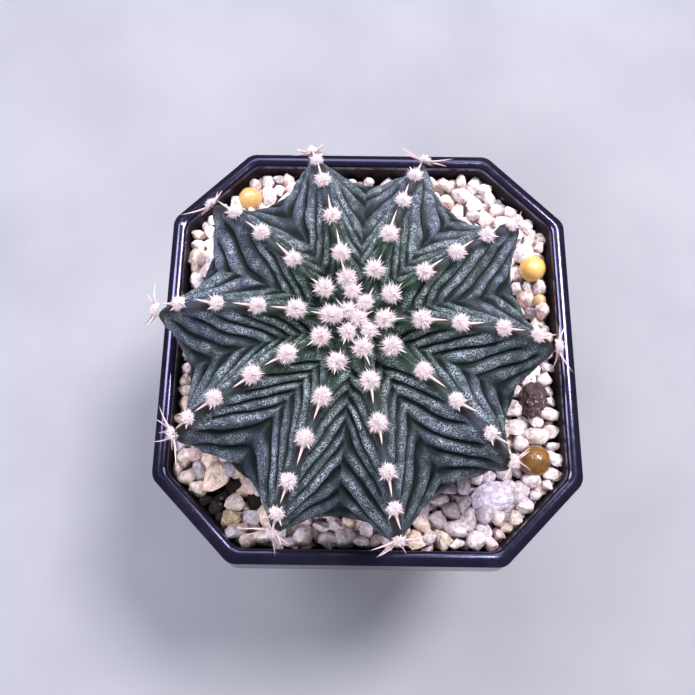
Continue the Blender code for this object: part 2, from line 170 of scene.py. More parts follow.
class AreoleSettings(PropertyGroup):
    strands: IntProperty(name="Strands", description="Wool strands of an areole", default=700, min=20)
    strand_length: length("Strand length", "Length of a wool strand", 1.10)
    strand_width: length("Strand width", "Width of a wool strand at its root", 0.095)
    spine_length: length("Spine length", "Length of the spine that points outward", 2.8)
    tip_spine_length: length("Tip spine length", "Length of the spines at a rib's tip", 3.4)
    spine_width: length("Spine width", "Width of a spine at its root", 0.50)
    wool: colour("Wool", "Colour of the wool", (0.77, 0.66, 0.69))
    spine: colour("Spine", "Colour of the spines", (0.42, 0.25, 0.24))


class GravelSettings(PropertyGroup):
    grains: IntProperty(name="Grains", description="Number of pumice grains", default=1400, min=50)
    smallest: length("Smallest", "Half the width of the smallest grain", 0.70)
    largest: length("Largest", "Half the width of the largest grain", 1.62)
    white: colour("White", "Palest grains", (0.90, 0.81, 0.83))
    cream: colour("Cream", "Cream grains", (0.78, 0.62, 0.48))
    pink: colour("Pink", "Pink grains", (0.80, 0.55, 0.50))
    grey: colour("Grey", "Lavender grey grains", (0.50, 0.46, 0.52))
    mix: colour("Mix", "Potting mix between the grains", (0.020, 0.012, 0.010))


def watts(light, default):
    text = f"Watts of the {light.lower()} light"
    return FloatProperty(name=f"{light} power", description=text, default=default, min=0)


class StageSettings(PropertyGroup):
    floor: colour("Floor", "Colour of the floor", (0.27, 0.27, 0.30))
    key_power: watts("Key", 3.0)
    fill_power: watts("Fill", 1.3)
    back_power: watts("Back", 0.7)
    front_power: watts("Front", 1.2)
    sky: factor("Sky", "Strength of the even light", 0.30)


# ---- Meshes ---------------------------------------------------------------------------


def add_piece(name, points, face_sets, finishes, smooth=True):
    """An object of an (n, 3) array of points and of arrays of faces, each with its own
    number of corners."""
    mesh = bpy.data.meshes.new(name)
    faces = [face for faces in face_sets for face in faces.tolist()]
    mesh.from_pydata(points.tolist(), [], faces)
    for finish in finishes:
        mesh.materials.append(finish)
    if smooth:
        mesh.shade_smooth()
    made = bpy.data.objects.new(name, mesh)
    bpy.context.scene.collection.objects.link(made)
    return made


def finish_piece(made, nodes):
    """Says what a finished piece rides on, and hides the CAD nodes that it stands for."""
    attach(made, "root")
    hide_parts(*nodes)


def give(made, name, values):
    """Stores one number, or one colour of an (n, 3) array, for each point of a piece."""
    values = np.asarray(values, np.float32)
    kind, key = "FLOAT", "value"
    if values.ndim == 2:
        kind, key = "FLOAT_COLOR", "color"
        values = np.column_stack([values, np.ones(len(values), np.float32)])
    made.data.attributes.new(name, kind, "POINT").data.foreach_set(key, values.ravel())


def tube_faces(rows, columns):
    """Quads between the neighbouring rows of a grid that closes on itself along a row. Rows
    run down, and columns run against the clock, so that the faces look out."""
    row, column = np.mgrid[0 : rows - 1, 0:columns]
    here = row * columns + column
    beside = row * columns + (column + 1) % columns
    return np.stack([here, here + columns, beside + columns, beside], axis=-1).reshape(-1, 4)


def closed_surface(grid, top, bottom):
    """Points and faces of a (rows, columns, 3) grid, closed by a point at each end."""
    rows, columns = grid.shape[:2]
    points = np.vstack([grid.reshape(-1, 3), [top, bottom]])
    column = np.arange(columns)
    beside = (column + 1) % columns
    last = (rows - 1) * columns
    upper = np.stack([np.full(columns, rows * columns), column, beside], axis=1)
    lower = np.stack([np.full(columns, rows * columns + 1), beside + last, column + last], axis=1)
    return points, [tube_faces(rows, columns), upper, lower]


def lifted(grid, height):
    """Moves each point of a grid out along the surface by its height. The direction is the
    cross product of the steps down a column and along a row."""
    down = np.gradient(grid, axis=0)
    along = np.roll(grid, -1, axis=1) - np.roll(grid, 1, axis=1)
    normal = np.cross(down, along)
    normal /= np.maximum(np.linalg.norm(normal, axis=-1, keepdims=True), 1e-15)
    return grid + normal * height[..., None]


def waves(points, wavelength, rng, count=18):
    """A smooth random field from -1 to 1, about: the mean of plane waves in random
    directions, each with a wavelength near the one given, made larger by the root of two."""
    directions = rng.normal(size=(count, points.shape[-1]))
    directions /= np.linalg.norm(directions, axis=1, keepdims=True)
    numbers = 2 * math.pi / (wavelength * rng.uniform(0.7, 1.4, count))
    phases = rng.uniform(0, 2 * math.pi, count)
    field = np.sin(points @ (directions * numbers[:, None]).T + phases)
    return field.sum(axis=-1) * math.sqrt(2 / count)


def smooth_step(value, low, high):
    """0 below low, 1 above high, and a cubic with flat ends between them."""
    share = np.clip((value - low) / (high - low), 0, 1)
    return share * share * (3 - 2 * share)


def ball_points(rings, segments):
    """Unit sphere as a grid of rings from the top down, without its two poles."""
    polar = np.pi * (np.arange(rings) + 1) / (rings + 1)
    around = 2 * np.pi * np.arange(segments) / segments
    x = np.sin(polar)[:, None] * np.cos(around)
    y = np.sin(polar)[:, None] * np.sin(around)
    z = np.broadcast_to(np.cos(polar)[:, None], x.shape)
    return np.stack([x, y, z], axis=-1)


def random_turns(count, rng):
    """Random rotation matrices, (count, 3, 3), from random unit quaternions."""
    quaternions = rng.normal(size=(count, 4))
    w, x, y, z = (quaternions / np.linalg.norm(quaternions, axis=1, keepdims=True)).T
    rows = [
        [1 - 2 * (y * y + z * z), 2 * (x * y - z * w), 2 * (x * z + y * w)],
        [2 * (x * y + z * w), 1 - 2 * (x * x + z * z), 2 * (y * z - x * w)],
        [2 * (x * z - y * w), 2 * (y * z + x * w), 1 - 2 * (x * x + y * y)],
    ]
    return np.array(rows).transpose(2, 0, 1)


# ---- Materials ------------------------------------------------------------------------

SPECK_EDGE = 12.0  # how sharply a speck ends
PITS_PER_MOTTLE = 1.6


class Nodes:
    """Short ways to add, set and join the nodes of one node tree."""

    def __init__(self, tree):
        self.tree = tree

    def fill(self, node, given):
        """Joins outputs to a node's sockets, or sets them to plain values."""
        for key, value in given.items():
            socket = node.inputs[key]
            if isinstance(value, bpy.types.NodeSocket):
                self.tree.links.new(value, socket)
            else:
                socket.default_value = (*value, 1) if socket.type == "RGBA" else value

    def add(self, kind, given=None, **settings):
        node = self.tree.nodes.new(kind)
        for name, value in settings.items():
            setattr(node, name, value)
        self.fill(node, given or {})
        return node

    def math(self, operation, first, second, clamp=False):
        given = {0: first, 1: second}
        return self.add("ShaderNodeMath", given, operation=operation, use_clamp=clamp).outputs[0]

    def times(self, product, *others):
        for other in others:
            product = self.math("MULTIPLY", product, other)
        return product

    def mix(self, share, first, second, blend="MIX"):
        given = {"Factor": share, 6: first, 7: second}
        return self.add("ShaderNodeMix", given, data_type="RGBA", blend_type=blend).outputs[2]

    def between(self, value, low, high, to_low=0.0, to_high=1.0):
        """Value carried from the range low to high into another range, smoothly."""
        given = dict(enumerate((value, low, high, to_low, to_high)))
        return self.add("ShaderNodeMapRange", given, interpolation_type="SMOOTHSTEP").outputs[0]

    def attribute(self, name, output="Fac"):
        return self.add("ShaderNodeAttribute", attribute_name=name).outputs[output]

    def texture(self, kind, given, **settings):
        """A texture node on the piece's own coordinates."""
        where = self.add("ShaderNodeTexCoord").outputs["Object"]
        return self.add(kind, {"Vector": where, **given}, **settings).outputs

    def noise(self, scale, detail=3.0, rough=0.5):
        given = {"Scale": scale, "Detail": detail, "Roughness": rough}
        return self.texture("ShaderNodeTexNoise", given)["Fac"]

    def cells(self, scale, feature="F1"):
        return self.texture("ShaderNodeTexVoronoi", {"Scale": scale}, feature=feature)

    def bump(self, height, distance, strength=1.0):
        given = {"Height": height, "Distance": distance, "Strength": strength}
        return self.add("ShaderNodeBump", given).outputs["Normal"]

    def specks(self, scale, share, size):
        given = {"Scale": scale, "Share": share, "Size": size}
        return self.add("ShaderNodeGroup", given, node_tree=speckle_group()).outputs["Specks"]

    def pitted(self, scale, pits):
        given = {"Scale": scale, "Pits": pits}
        return self.add("ShaderNodeGroup", given, node_tree=pitted_group()).outputs


def new_finish(name):
    """A material with its node helper and its Principled shader."""
    made = bpy.data.materials.new(name)
    made.use_nodes = True
    return made, Nodes(made.node_tree), made.node_tree.nodes["Principled BSDF"]


def new_group(name, inputs, outputs):
    """A shader node group with named number inputs and outputs, its node helper, its inputs
    as sockets and its result node."""
    tree = bpy.data.node_groups.new(name, "ShaderNodeTree")
    for socket, default in inputs.items():
        made = tree.interface.new_socket(socket, in_out="INPUT", socket_type="NodeSocketFloat")
        made.default_value = default
    for socket in outputs:
        tree.interface.new_socket(socket, in_out="OUTPUT", socket_type="NodeSocketFloat")
    nodes = Nodes(tree)
    return tree, nodes, nodes.add("NodeGroupInput").outputs, nodes.add("NodeGroupOutput")


def speckle_group():
    """Scattered specks: 1 inside a random share of small cells, 0 between them."""
    name = "Speckles"
    if name in bpy.data.node_groups:
        return bpy.data.node_groups[name]
    inputs = {"Scale": 2000, "Share": 0.3, "Size": 0.35}
    tree, nodes, given, result = new_group(name, inputs, ["Specks"])
    cell = nodes.cells(given["Scale"])
    random = nodes.add("ShaderNodeSeparateColor", {0: cell["Color"]}).outputs
    chosen = nodes.math("LESS_THAN", random[0], given["Share"])
    inside = nodes.math("SUBTRACT", nodes.times(given["Size"], random[1]), cell["Distance"])
    inside = nodes.math("MULTIPLY", inside, SPECK_EDGE, clamp=True)
    nodes.fill(result, {"Specks": nodes.times(chosen, inside)})
    return tree


def pitted_group():
    """Fine mineral grain: mottling between 0 and 1, and the height of a pitted surface."""
    name = "Pitted Grain"
    if name in bpy.data.node_groups:
        return bpy.data.node_groups[name]
    inputs = {"Scale": 1500, "Pits": 0.5}
    tree, nodes, given, result = new_group(name, inputs, ["Mottling", "Height"])
    mottling = nodes.noise(given["Scale"], 4)
    cell = nodes.cells(nodes.times(given["Scale"], PITS_PER_MOTTLE), "SMOOTH_F1")
    depth = nodes.times(nodes.between(cell["Distance"], 0.1, 0.5), given["Pits"])
    nodes.fill(result, {"Mottling": mottling, "Height": nodes.math("ADD", depth, mottling)})
    return tree


def plastic_finish(settings):
    """Satin black plastic with dust settled on it."""
    made, nodes, shader = new_finish("pot_plastic")
    mould = nodes.noise(900, 3, 0.6)
    dust = nodes.specks(900.0, 0.04, 0.32)
    film = nodes.between(nodes.noise(160, 4, 0.6), 0.5, 0.8, 0.0, 0.02)
    rough = nodes.between(mould, 0.3, 0.7, 0.14, 0.19)
    settled = nodes.math("ADD", dust, film, clamp=True)
    look = {
        "Base Color": nodes.mix(settled, settings.plastic, (0.42, 0.40, 0.46)),
        "Roughness": nodes.math("ADD", rough, nodes.times(dust, 0.4), clamp=True),
        "Normal": nodes.bump(mould, 0.008 * MM),
        "Specular IOR Level": 0.8,
        "Specular Tint": (0.62, 0.58, 1.0),
    }
    nodes.fill(shader, look)
    return made


def inner_wall_finish(settings):
    """The same plastic inside the pot, dulled by dried splashes and fine dust."""
    made, nodes, shader = new_finish("pot_inner_wall")
    residue = nodes.between(nodes.noise(420, 5, 0.65), 0.42, 0.64)
    base = nodes.mix(residue, settings.plastic, settings.residue)
    dust = nodes.times(nodes.specks(1100.0, 0.05, 0.30), 0.4)
    look = {
        "Base Color": nodes.mix(dust, base, (0.42, 0.38, 0.38)),
        "Roughness": nodes.between(residue, 0.0, 1.0, 0.45, 0.8),
        "Normal": nodes.bump(residue, 0.02 * MM),
        "Specular IOR Level": 0.12,
    }
    nodes.fill(shader, look)
    return made


def skin_finish(settings):
    """Dark skin with a silvery bloom: painted shade makes the furrows and grooves near black, ridges
    are grey green with violet patches, young skin is greener, and the old crests are reddish brown
    darkened by painted spine shadow, which also lies just outside each areole."""
    made, nodes, shader = new_finish("cactus_skin")
    ridge, outward, crest, socket = map(nodes.attribute, ("ridge", "outward", "crest", "socket"))
    tone = nodes.mix(nodes.between(outward, 0.55, 0.15), settings.skin, settings.young_skin)
    patches = nodes.between(nodes.noise(130, 3, 0.55), 0.46, 0.66)
    violet = nodes.times(patches, nodes.between(outward, 0.3, 0.7), 0.75)
    tone = nodes.mix(violet, tone, settings.violet)
    # The old crests' reddish brown, made darker to stand for painted spine shadow along the crest
    old = nodes.times(crest, nodes.between(outward, 0.45, 0.9), 0.8)
    tone = nodes.mix(old, tone, settings.brown_and_shadow)
    # Painted shade: where the ridge attribute is low, in furrows and grooves, the skin fades to the
    # near-black furrow_shade colour
    tone = nodes.mix(nodes.between(ridge, 0.16, 0.78), settings.furrow_shade, tone)
    grain = nodes.noise(6200, 1.5, 0.6)
    wide = nodes.between(nodes.noise(600, 5, 0.7), 0.38, 0.62, 0.18, 1.0)
    bare = nodes.between(crest, 0.2, 0.8, 1.0, 0.12)
    speckles = nodes.between(grain, 0.44, 0.62)
    bloom = nodes.times(speckles, wide, nodes.between(ridge, 0.28, 0.84), bare, 0.9)
    tone = nodes.mix(bloom, tone, settings.bloom)
    # Painted shadow of each outward spine: the socket mask darkens the crest to brown just outside
    # its areole
    beside = nodes.times(socket, nodes.between(outward, 0.1, 0.6, 0.45, 0.9))
    look = {
        "Base Color": nodes.mix(beside, tone, settings.brown_and_shadow),
        "Roughness": nodes.between(grain, 0.3, 0.7, 0.75, 0.50),
        "Normal": nodes.bump(grain, 0.05 * MM, 0.6),
        "Specular IOR Level": 0.22,
    }
    nodes.fill(shader, look)
    return made


def fibre_finish(name, root, tip, rough):
    """Wool or spine: its colour runs from root to tip along the strand, with a tone of its
    own for each strand. It is made once and shared."""
    if name in bpy.data.materials:
        return bpy.data.materials[name]
    made, nodes, shader = new_finish(name)
    body = nodes.mix(nodes.between(nodes.attribute("along"), 0.0, 0.8), root, tip)
    body = nodes.mix(nodes.times(nodes.attribute("tone"), 0.35), body, (0.55, 0.40, 0.38))
    grain = nodes.between(nodes.noise(3000, 2, 0.5), 0.3, 0.7, 0.0, 0.12)
    body = nodes.mix(grain, body, (0.50, 0.44, 0.46))
    nodes.fill(shader, {"Base Color": body, "Roughness": rough})
    return made


def grain_finish(name, scale, pits, depth, flecks):
    """Porous mineral that takes its colour from each grain's own tint, with flecks of a
    colour, cells in a metre and share."""
    made, nodes, shader = new_finish(name)
    tint = nodes.attribute("tint", "Color")
    pitted = nodes.pitted(scale, pits)
    dark = nodes.mix(1.0, tint, (0.66, 0.60, 0.60), "MULTIPLY")
    body = nodes.mix(nodes.between(pitted["Mottling"], 0.38, 0.62), dark, tint)
    fleck, cells, share = flecks
    look = {
        "Base Color": nodes.mix(nodes.times(nodes.specks(cells, share, 0.5), 0.6), body, fleck),
        "Roughness": 0.88,
        "Normal": nodes.bump(pitted["Height"], depth),
    }
    nodes.fill(shader, look)
    return made


def prill_finish(name, base, deep, clarity):
    """Resin coat over a fertiliser prill: mottled amber, glossy and a little clear."""
    made, nodes, shader = new_finish(name)
    cloud = nodes.noise(420, 4, 0.6)
    body = nodes.mix(nodes.between(cloud, 0.35, 0.7), base, deep)
    specks = nodes.times(nodes.specks(1500.0, 0.12, 0.3), 0.35)
    look = {
        "Base Color": nodes.mix(specks, body, (0.92, 0.80, 0.62)),
        "Roughness": nodes.between(cloud, 0.3, 0.7, 0.22, 0.38),
        "Normal": nodes.bump(nodes.noise(1400, 3, 0.5), 0.05 * MM),
        "Subsurface Weight": clarity,
        "Subsurface Scale": 0.6 * MM,
        "Coat Weight": 0.5,
        "Coat Roughness": 0.15,
    }
    nodes.fill(shader, look)
    return made


def earth_finish(name, base, light):
    """Crumbly dark matter, damp in places."""
    made, nodes, shader = new_finish(name)
    pitted = nodes.pitted(1700.0, 0.8)
    body = nodes.mix(nodes.between(pitted["Mottling"], 0.4, 0.7), base, light)
    specks = nodes.times(nodes.specks(1100.0, 0.12, 0.3), 0.6)
    look = {
        "Base Color": nodes.mix(specks, body, (0.30, 0.22, 0.16)),
        "Roughness": nodes.between(nodes.noise(300, 2, 0.5), 0.3, 0.7, 0.7, 0.95),
        "Normal": nodes.bump(pitted["Height"], 0.12 * MM),
    }
    nodes.fill(shader, look)
    return made


# ---- Pot ------------------------------------------------------------------------------

CORNER_STEPS = 7
SIDE_STEPS = 7
COLLAR_STEP = 1.0 * MM  # how far the wall stands in below the collar
LIP_DOME = 1.40 * MM  # radii of the lip's shallow dome and of its inner and outer edges
LIP_INNER_EDGE = 0.26 * MM
LIP_OUTER_EDGE = 0.15 * MM
COLLAR_EDGE = 0.2 * MM
FOOT_RADIUS = 0.6 * MM


def half_planes(settings, inset):
    """Normals and distances of the outline's eight sides, moved inward by inset."""
    angles = np.arange(8) * math.pi / 4
    normals = np.stack([np.cos(angles), np.sin(angles)], axis=1)
    half_x, half_y = (POT_HIGH - POT_LOW)[:2] / 2 - settings.collar_flare
    chamfer = (half_x + half_y - settings.corner_cut) / math.sqrt(2)
    return normals, np.array([half_x, chamfer, half_y, chamfer] * 2) - inset


def outline(settings, inset):
    """The rounded octagon as (columns, 2) points: an arc at each corner about the meeting
    point of the two sides moved in by the corner's radius, and even steps along each side."""
    normals, distances = half_planes(settings, inset)
    centres = distances - settings.corner_radius
    after = np.roll(np.arange(8), -1)
    pairs = np.stack([normals, normals[after]], axis=1)
    reach = np.stack([centres, centres[after]], axis=1)[..., None]
    corners = np.linalg.solve(pairs, reach)[..., 0]
    turn = np.arange(CORNER_STEPS + 1) / CORNER_STEPS
    angles = (np.arange(8)[:, None] + turn) * math.pi / 4
    circle = np.stack([np.cos(angles), np.sin(angles)], axis=-1)
    arcs = corners[:, None] + settings.corner_radius * circle
    shares = (np.arange(1, SIDE_STEPS) / SIDE_STEPS)[None, :, None]
    sides = arcs[:, -1:] * (1 - shares) + arcs[after, :1] * shares
    return np.concatenate([arcs, sides], axis=1).reshape(-1, 2)


def arc(inset, z, radius, start, end, steps=7):
    """Points of an arc in the plane of inset and height. An angle of 180 degrees faces out
    of the pot, 90 faces up and 0 faces in."""
    angles = np.radians(np.linspace(start, end, steps))
    return [(inset + radius * math.cos(a), z + radius * math.sin(a)) for a in angles]


def inner_inset(settings, z):
    """How far the inner face stands in from the lip, at a height."""
    collar_z = RIM_Z - settings.collar_height
    step = COLLAR_STEP + settings.wall
    below = settings.taper + settings.wall + (step - settings.taper - settings.wall) * z / collar_z
    inside = settings.lip_width + 0.1 * MM * smooth_step(z, RIM_Z, collar_z)
    return np.where(z > collar_z - 0.3 * MM, inside, np.maximum(below, inside))


def pot_profile(settings):
    """Inset and height of the pot's section: up the inner wall, over the lip's inner edge,
    its shallow dome and its outer edge, down the flared collar and the tapered wall to the
    foot. It also gives the number of points that lie inside."""
    collar_z = RIM_Z - settings.collar_height
    lip, flare, taper = settings.lip_width, settings.collar_flare, settings.taper
    heights = np.linspace(2 * settings.floor, collar_z - settings.wall, 9)
    inner = [(taper + 2.2 * settings.wall, settings.floor)]
    inner += [(float(inner_inset(settings, z)), z) for z in heights]
    inner += [(lip + 0.1 * MM, collar_z + 0.5 * MM)]
    heights = np.linspace(collar_z + 2 * MM, RIM_Z - 0.95 * MM, 4)
    inner += [(lip + 0.02 * MM, z) for z in heights]
    over = arc(lip - LIP_INNER_EDGE, RIM_Z - 0.50 * MM, LIP_INNER_EDGE, 0, 50)
    over += arc(1.03 * MM, RIM_Z - LIP_DOME, LIP_DOME, 58, 122, 16)
    over += arc(LIP_OUTER_EDGE, RIM_Z - 0.42 * MM, LIP_OUTER_EDGE, 90, 180)
    drop = collar_z + 1.0 * MM - RIM_Z
    collar = [(-flare * share, RIM_Z - 0.7 * MM + drop * share) for share in (0.2, 0.5, 0.8)]
    collar += arc(COLLAR_EDGE - flare, collar_z + COLLAR_EDGE, COLLAR_EDGE, 180, 270, 5)
    collar += [(COLLAR_STEP, collar_z), (COLLAR_STEP + 0.05 * MM, collar_z - 0.4 * MM)]
    heights = np.linspace(collar_z - 2 * MM, 2 * FOOT_RADIUS, 10)
    wall = [(taper + (COLLAR_STEP - taper) * z / collar_z, z) for z in heights]
    foot = arc(taper + FOOT_RADIUS, FOOT_RADIUS, FOOT_RADIUS, 180, 270, 5)
    return np.array(inner + over + collar + wall + foot), len(inner)


def drain_drill(settings):
    """One mesh of four upright cylinders, longer than the floor is thick."""
    turns = np.arange(24) * math.pi / 12
    circle = np.stack([np.cos(turns), np.sin(turns)], axis=1) * settings.drain_diameter / 2
    ends = (3 * settings.floor, -settings.floor)
    drills = []
    for hole in range(4):
        angle = (hole + 0.5) * math.pi / 2
        middle = np.array([math.cos(angle), math.sin(angle)]) * settings.drain_circle
        grid = np.stack([np.column_stack([circle + middle, np.full(24, z)]) for z in ends])
        drills.append(closed_surface(grid, (*middle, ends[0]), (*middle, ends[1])))
    return add_piece("drain_drill", *joined(drills), [], smooth=False)


class CACTUS_OT_pot(Operator):
    """Make the chamfered square nursery pot with its domed lip and drain holes"""

    bl_idname = "cactus.pot"
    bl_label = "Pot"

    def execute(self, context):
        settings = context.scene.cactus_pot
        profile, inside_rows = pot_profile(settings)
        rings = np.stack([outline(settings, inset) for inset, _ in profile])
        columns = rings.shape[1]
        heights = np.repeat(profile[:, 1:], columns, axis=1)
        grid = np.concatenate([rings, heights[..., None]], axis=-1)
        points, faces = closed_surface(grid, (0, 0, settings.floor), (0, 0, 0))
        finishes = [plastic_finish(settings), inner_wall_finish(settings)]
        pot = add_piece("nursery_pot", points, faces, finishes)
        inner = np.zeros(sum(map(len, faces)), np.int32)
        inner[: (inside_rows - 1) * columns] = 1
        inner[len(faces[0]) : len(faces[0]) + columns] = 1
        pot.data.polygons.foreach_set("material_index", inner)
        drill = drain_drill(settings)
        cut = pot.modifiers.new("drain_holes", "BOOLEAN")
        cut.object = drill
        cut.solver = "EXACT"
        drilled = pot.evaluated_get(context.evaluated_depsgraph_get())
        pot.data = bpy.data.meshes.new_from_object(drilled)
        pot.modifiers.remove(cut)
        bpy.data.objects.remove(drill)
        pot.data.set_sharp_from_angle(angle=math.radians(40))
        finish_piece(pot, ["pot"])
        return {"FINISHED"}


# ---- Cactus body ----------------------------------------------------------------------

CREST_POWER = 2.13  # exponents of the superellipse that a crest follows
CREST_FLATNESS = 0.35
CROWN_DIP_RADIUS = 3.5 * MM
HEART_DEPTH = 6 * MM  # the grooves close in on a point this far below the widest part
GROOVE_START = 0.07
CREST_SOFTNESS = 0.03
HALF_RIB = 0.31  # about half the angle that a rib takes
NECK_RADIUS = 8 * MM
NECK_Z = MIX_Z - 0.3 * MM
NECK_SHARE = NECK_RADIUS / BODY_RADIUS
UNDERSIDE_DEPTH = (EQUATOR_Z - NECK_Z) / (1 - NECK_SHARE**2)
HALF_RIB_STEPS = 24
UPPER_ROWS = 128
UNDER_ROWS = 36


def crest_height(settings, share, radius):
    """Height of a crest that is share of the way out: the widest height, plus the rise times
    (1 - share^2.13)^0.35, less a dip at the crown that fades as exp(-(radius / 3.5 mm)^2)."""
    arch = np.maximum(1 - share**CREST_POWER, 0) ** CREST_FLATNESS
    dip = settings.crown_dip * np.exp(-((radius / CROWN_DIP_RADIUS) ** 2))
    return EQUATOR_Z + (TOP_Z + settings.crown_dip - EQUATOR_Z) * arch - dip


def crest_points(settings, rib, shares):
    """Points of a rib's crest, (n, 3), at shares of the way out."""
    radius = BODY_RADIUS * RIB_REACHES[rib] * shares
    x = AXIS[0] + radius * math.cos(RIB_AZIMUTHS[rib])
    y = AXIS[1] + radius * math.sin(RIB_AZIMUTHS[rib])
    return np.stack([x, y, crest_height(settings, shares, radius)], axis=1)


def areole_share(settings, rib, node):
    """Where along a rib's crest an areole sits: the middle of the stretch of crest that its
    CAD solid rests on."""
    shares = np.linspace(0.1, 0.999, 600)
    crest = crest_points(settings, rib, shares)
    gaps = np.linalg.norm(crest[:, None] - node_points(node)[None], axis=2)
    nearest = gaps.min(axis=0)
    rested = shares[gaps.argmin(axis=0)[nearest < nearest.min() + 0.3 * MM]]
    return (rested.min() + rested.max()) / 2


def columns_of_ribs():
    """Azimuth, offset from crest (0) to groove (1), reach, rib and flank of each column."""
    steps = np.arange(HALF_RIB_STEPS) / HALF_RIB_STEPS
    columns = []
    for rib in range(RIB_COUNT):
        for side, offset in ((-1, 1 - steps), (1, steps)):
            beside = (rib + side) % RIB_COUNT
            turn = turned(RIB_AZIMUTHS[beside] - RIB_AZIMUTHS[rib])
            azimuth = RIB_AZIMUTHS[rib] + turn * offset / 2
            reach = RIB_REACHES[rib] * (1 - offset / 2) + RIB_REACHES[beside] * offset / 2
            numbers = [np.full(len(steps), number) for number in (rib, 2 * rib + (side > 0))]
            columns.append((azimuth, offset, reach, *numbers))
    return [np.concatenate(each) for each in zip(*columns)]


def profile_rows(settings):
    """Even steps of arc length along a crest and down the underside. Gives each row's share
    of the way out, whether it is under the widest part, and its arc share: 0 at the crown,
    1 at the widest part and 2 at the neck. The last value is the crest's length."""
    turn = np.linspace(0, math.pi / 2, 4000)
    share = np.sin(turn)
    height = crest_height(settings, share, BODY_RADIUS * share)
    steps = np.hypot(np.diff(share * BODY_RADIUS), np.diff(height))
    arc_length = np.concatenate([[0], np.cumsum(steps)]) / steps.sum()
    upper_arc = np.linspace(0, 1, UPPER_ROWS + 1)[1:]
    upper = np.interp(upper_arc, arc_length, share)
    under_arc = np.linspace(1, 2, UNDER_ROWS + 1)[1:]
    under = 1 - (1 - NECK_SHARE) * (under_arc - 1)
    shares = np.concatenate([upper, under])
    under_rows = np.arange(len(shares)) >= UPPER_ROWS
    return shares, under_rows, np.concatenate([upper_arc, under_arc]), steps.sum()


def smooth_body(settings, shares, under, offsets, reaches, azimuths):
    """The body without its ridges. Each column is a crest's curve pulled in towards the heart
    by a groove depth of (crown + (edge - crown) share) times 1 - (1 - offset)^(1.3 + 1.2 share)."""
    share = shares[:, None]
    out = np.where(under, (shares - NECK_SHARE) / (1 - NECK_SHARE), 1)[:, None]
    radius = BODY_RADIUS * (1 + (reaches - 1) * out) * share
    upper_height = crest_height(settings, share, radius)
    under_height = EQUATOR_Z - UNDERSIDE_DEPTH * (1 - share**2)
    height = np.where(under[:, None], under_height, upper_height)
    soft = np.sqrt(offsets**2 + CREST_SOFTNESS**2) - CREST_SOFTNESS
    depth = settings.groove_at_crown + (settings.groove_at_edge - settings.groove_at_crown) * share
    depth = depth * np.where(under[:, None], out, 1) * (1 - np.exp(-((share / GROOVE_START) ** 2)))
    keep = 1 - depth * (1 - np.maximum(1 - soft, 0) ** (1.3 + 1.2 * share))
    heart = EQUATOR_Z - HEART_DEPTH
    radius = radius * keep
    height = heart + (height - heart) * keep
    x = AXIS[0] + radius * np.cos(azimuths)
    y = AXIS[1] + radius * np.sin(azimuths)
    grid = np.stack([x, y, height], axis=-1)
    first, last = UPPER_ROWS - 4, UPPER_ROWS + 6
    for _ in range(4):
        above, below = grid[first - 1 : last - 1], grid[first + 1 : last + 1]
        grid[first:last] = (above + 2 * grid[first:last] + below) / 4
    return grid


def ridge_pattern(settings, grid, arcs, offsets, ribs, flanks, areole_arcs):
    """The cross ridges, from 0 in a furrow to 1 on a ridge. A ridge that meets the crest at
    arc share c lies at c - sweep offset^0.9 on the flank, so the ridges form chevrons that
    point out. The phase counts ridges and is tied to the areoles, and its fraction f gives
    the height 1 - |2 f - 1|^2.6, times a share of 0.6 to 1 that each ridge has of its own."""
    rng = np.random.default_rng(11)
    arc_share = arcs[:, None]
    sweep = settings.ridge_sweep * smooth_step(arc_share, 0.02, 0.45)
    sweep = sweep * (1 - 0.6 * smooth_step(arc_share, 0.9, 1.3))
    meets = arc_share + sweep * offsets**0.9
    phase = np.empty(meets.shape)
    for rib, inner in enumerate(areole_arcs):
        mine = ribs == rib
        last = len(inner)
        counts = [*range(last + 1), last + 1.5, last + 2.7, last + 4]
        phase[:, mine] = np.interp(meets[:, mine], [0, *inner, 1.12, 1.35, 2.2], counts)
    shifts = rng.uniform(0, 2 * math.pi, (3, 2 * RIB_COUNT))[:, flanks]
    wobble = 0.16 * np.sin(8 * arc_share + shifts[0])
    wobble = wobble + 0.08 * np.sin(4 * offsets - 9 * arc_share + shifts[1])
    wobble = wobble + 0.04 * np.sin(9 * offsets + 17 * arc_share + shifts[2])
    wobble = wobble + 0.08 * waves(grid, 6 * MM, rng)
    count = phase * settings.ridges_per_areole + wobble * smooth_step(offsets, 0.0, 0.4)
    own = rng.uniform(0.6, 1.0, (2 * RIB_COUNT, 40))[flanks, np.floor(count).astype(int) % 40]
    return own * (1 - np.abs(2 * (count % 1) - 1) ** 2.6)


def bell(along, across, length, width):
    return np.exp(-((along / length) ** 2) - (across / width) ** 2)


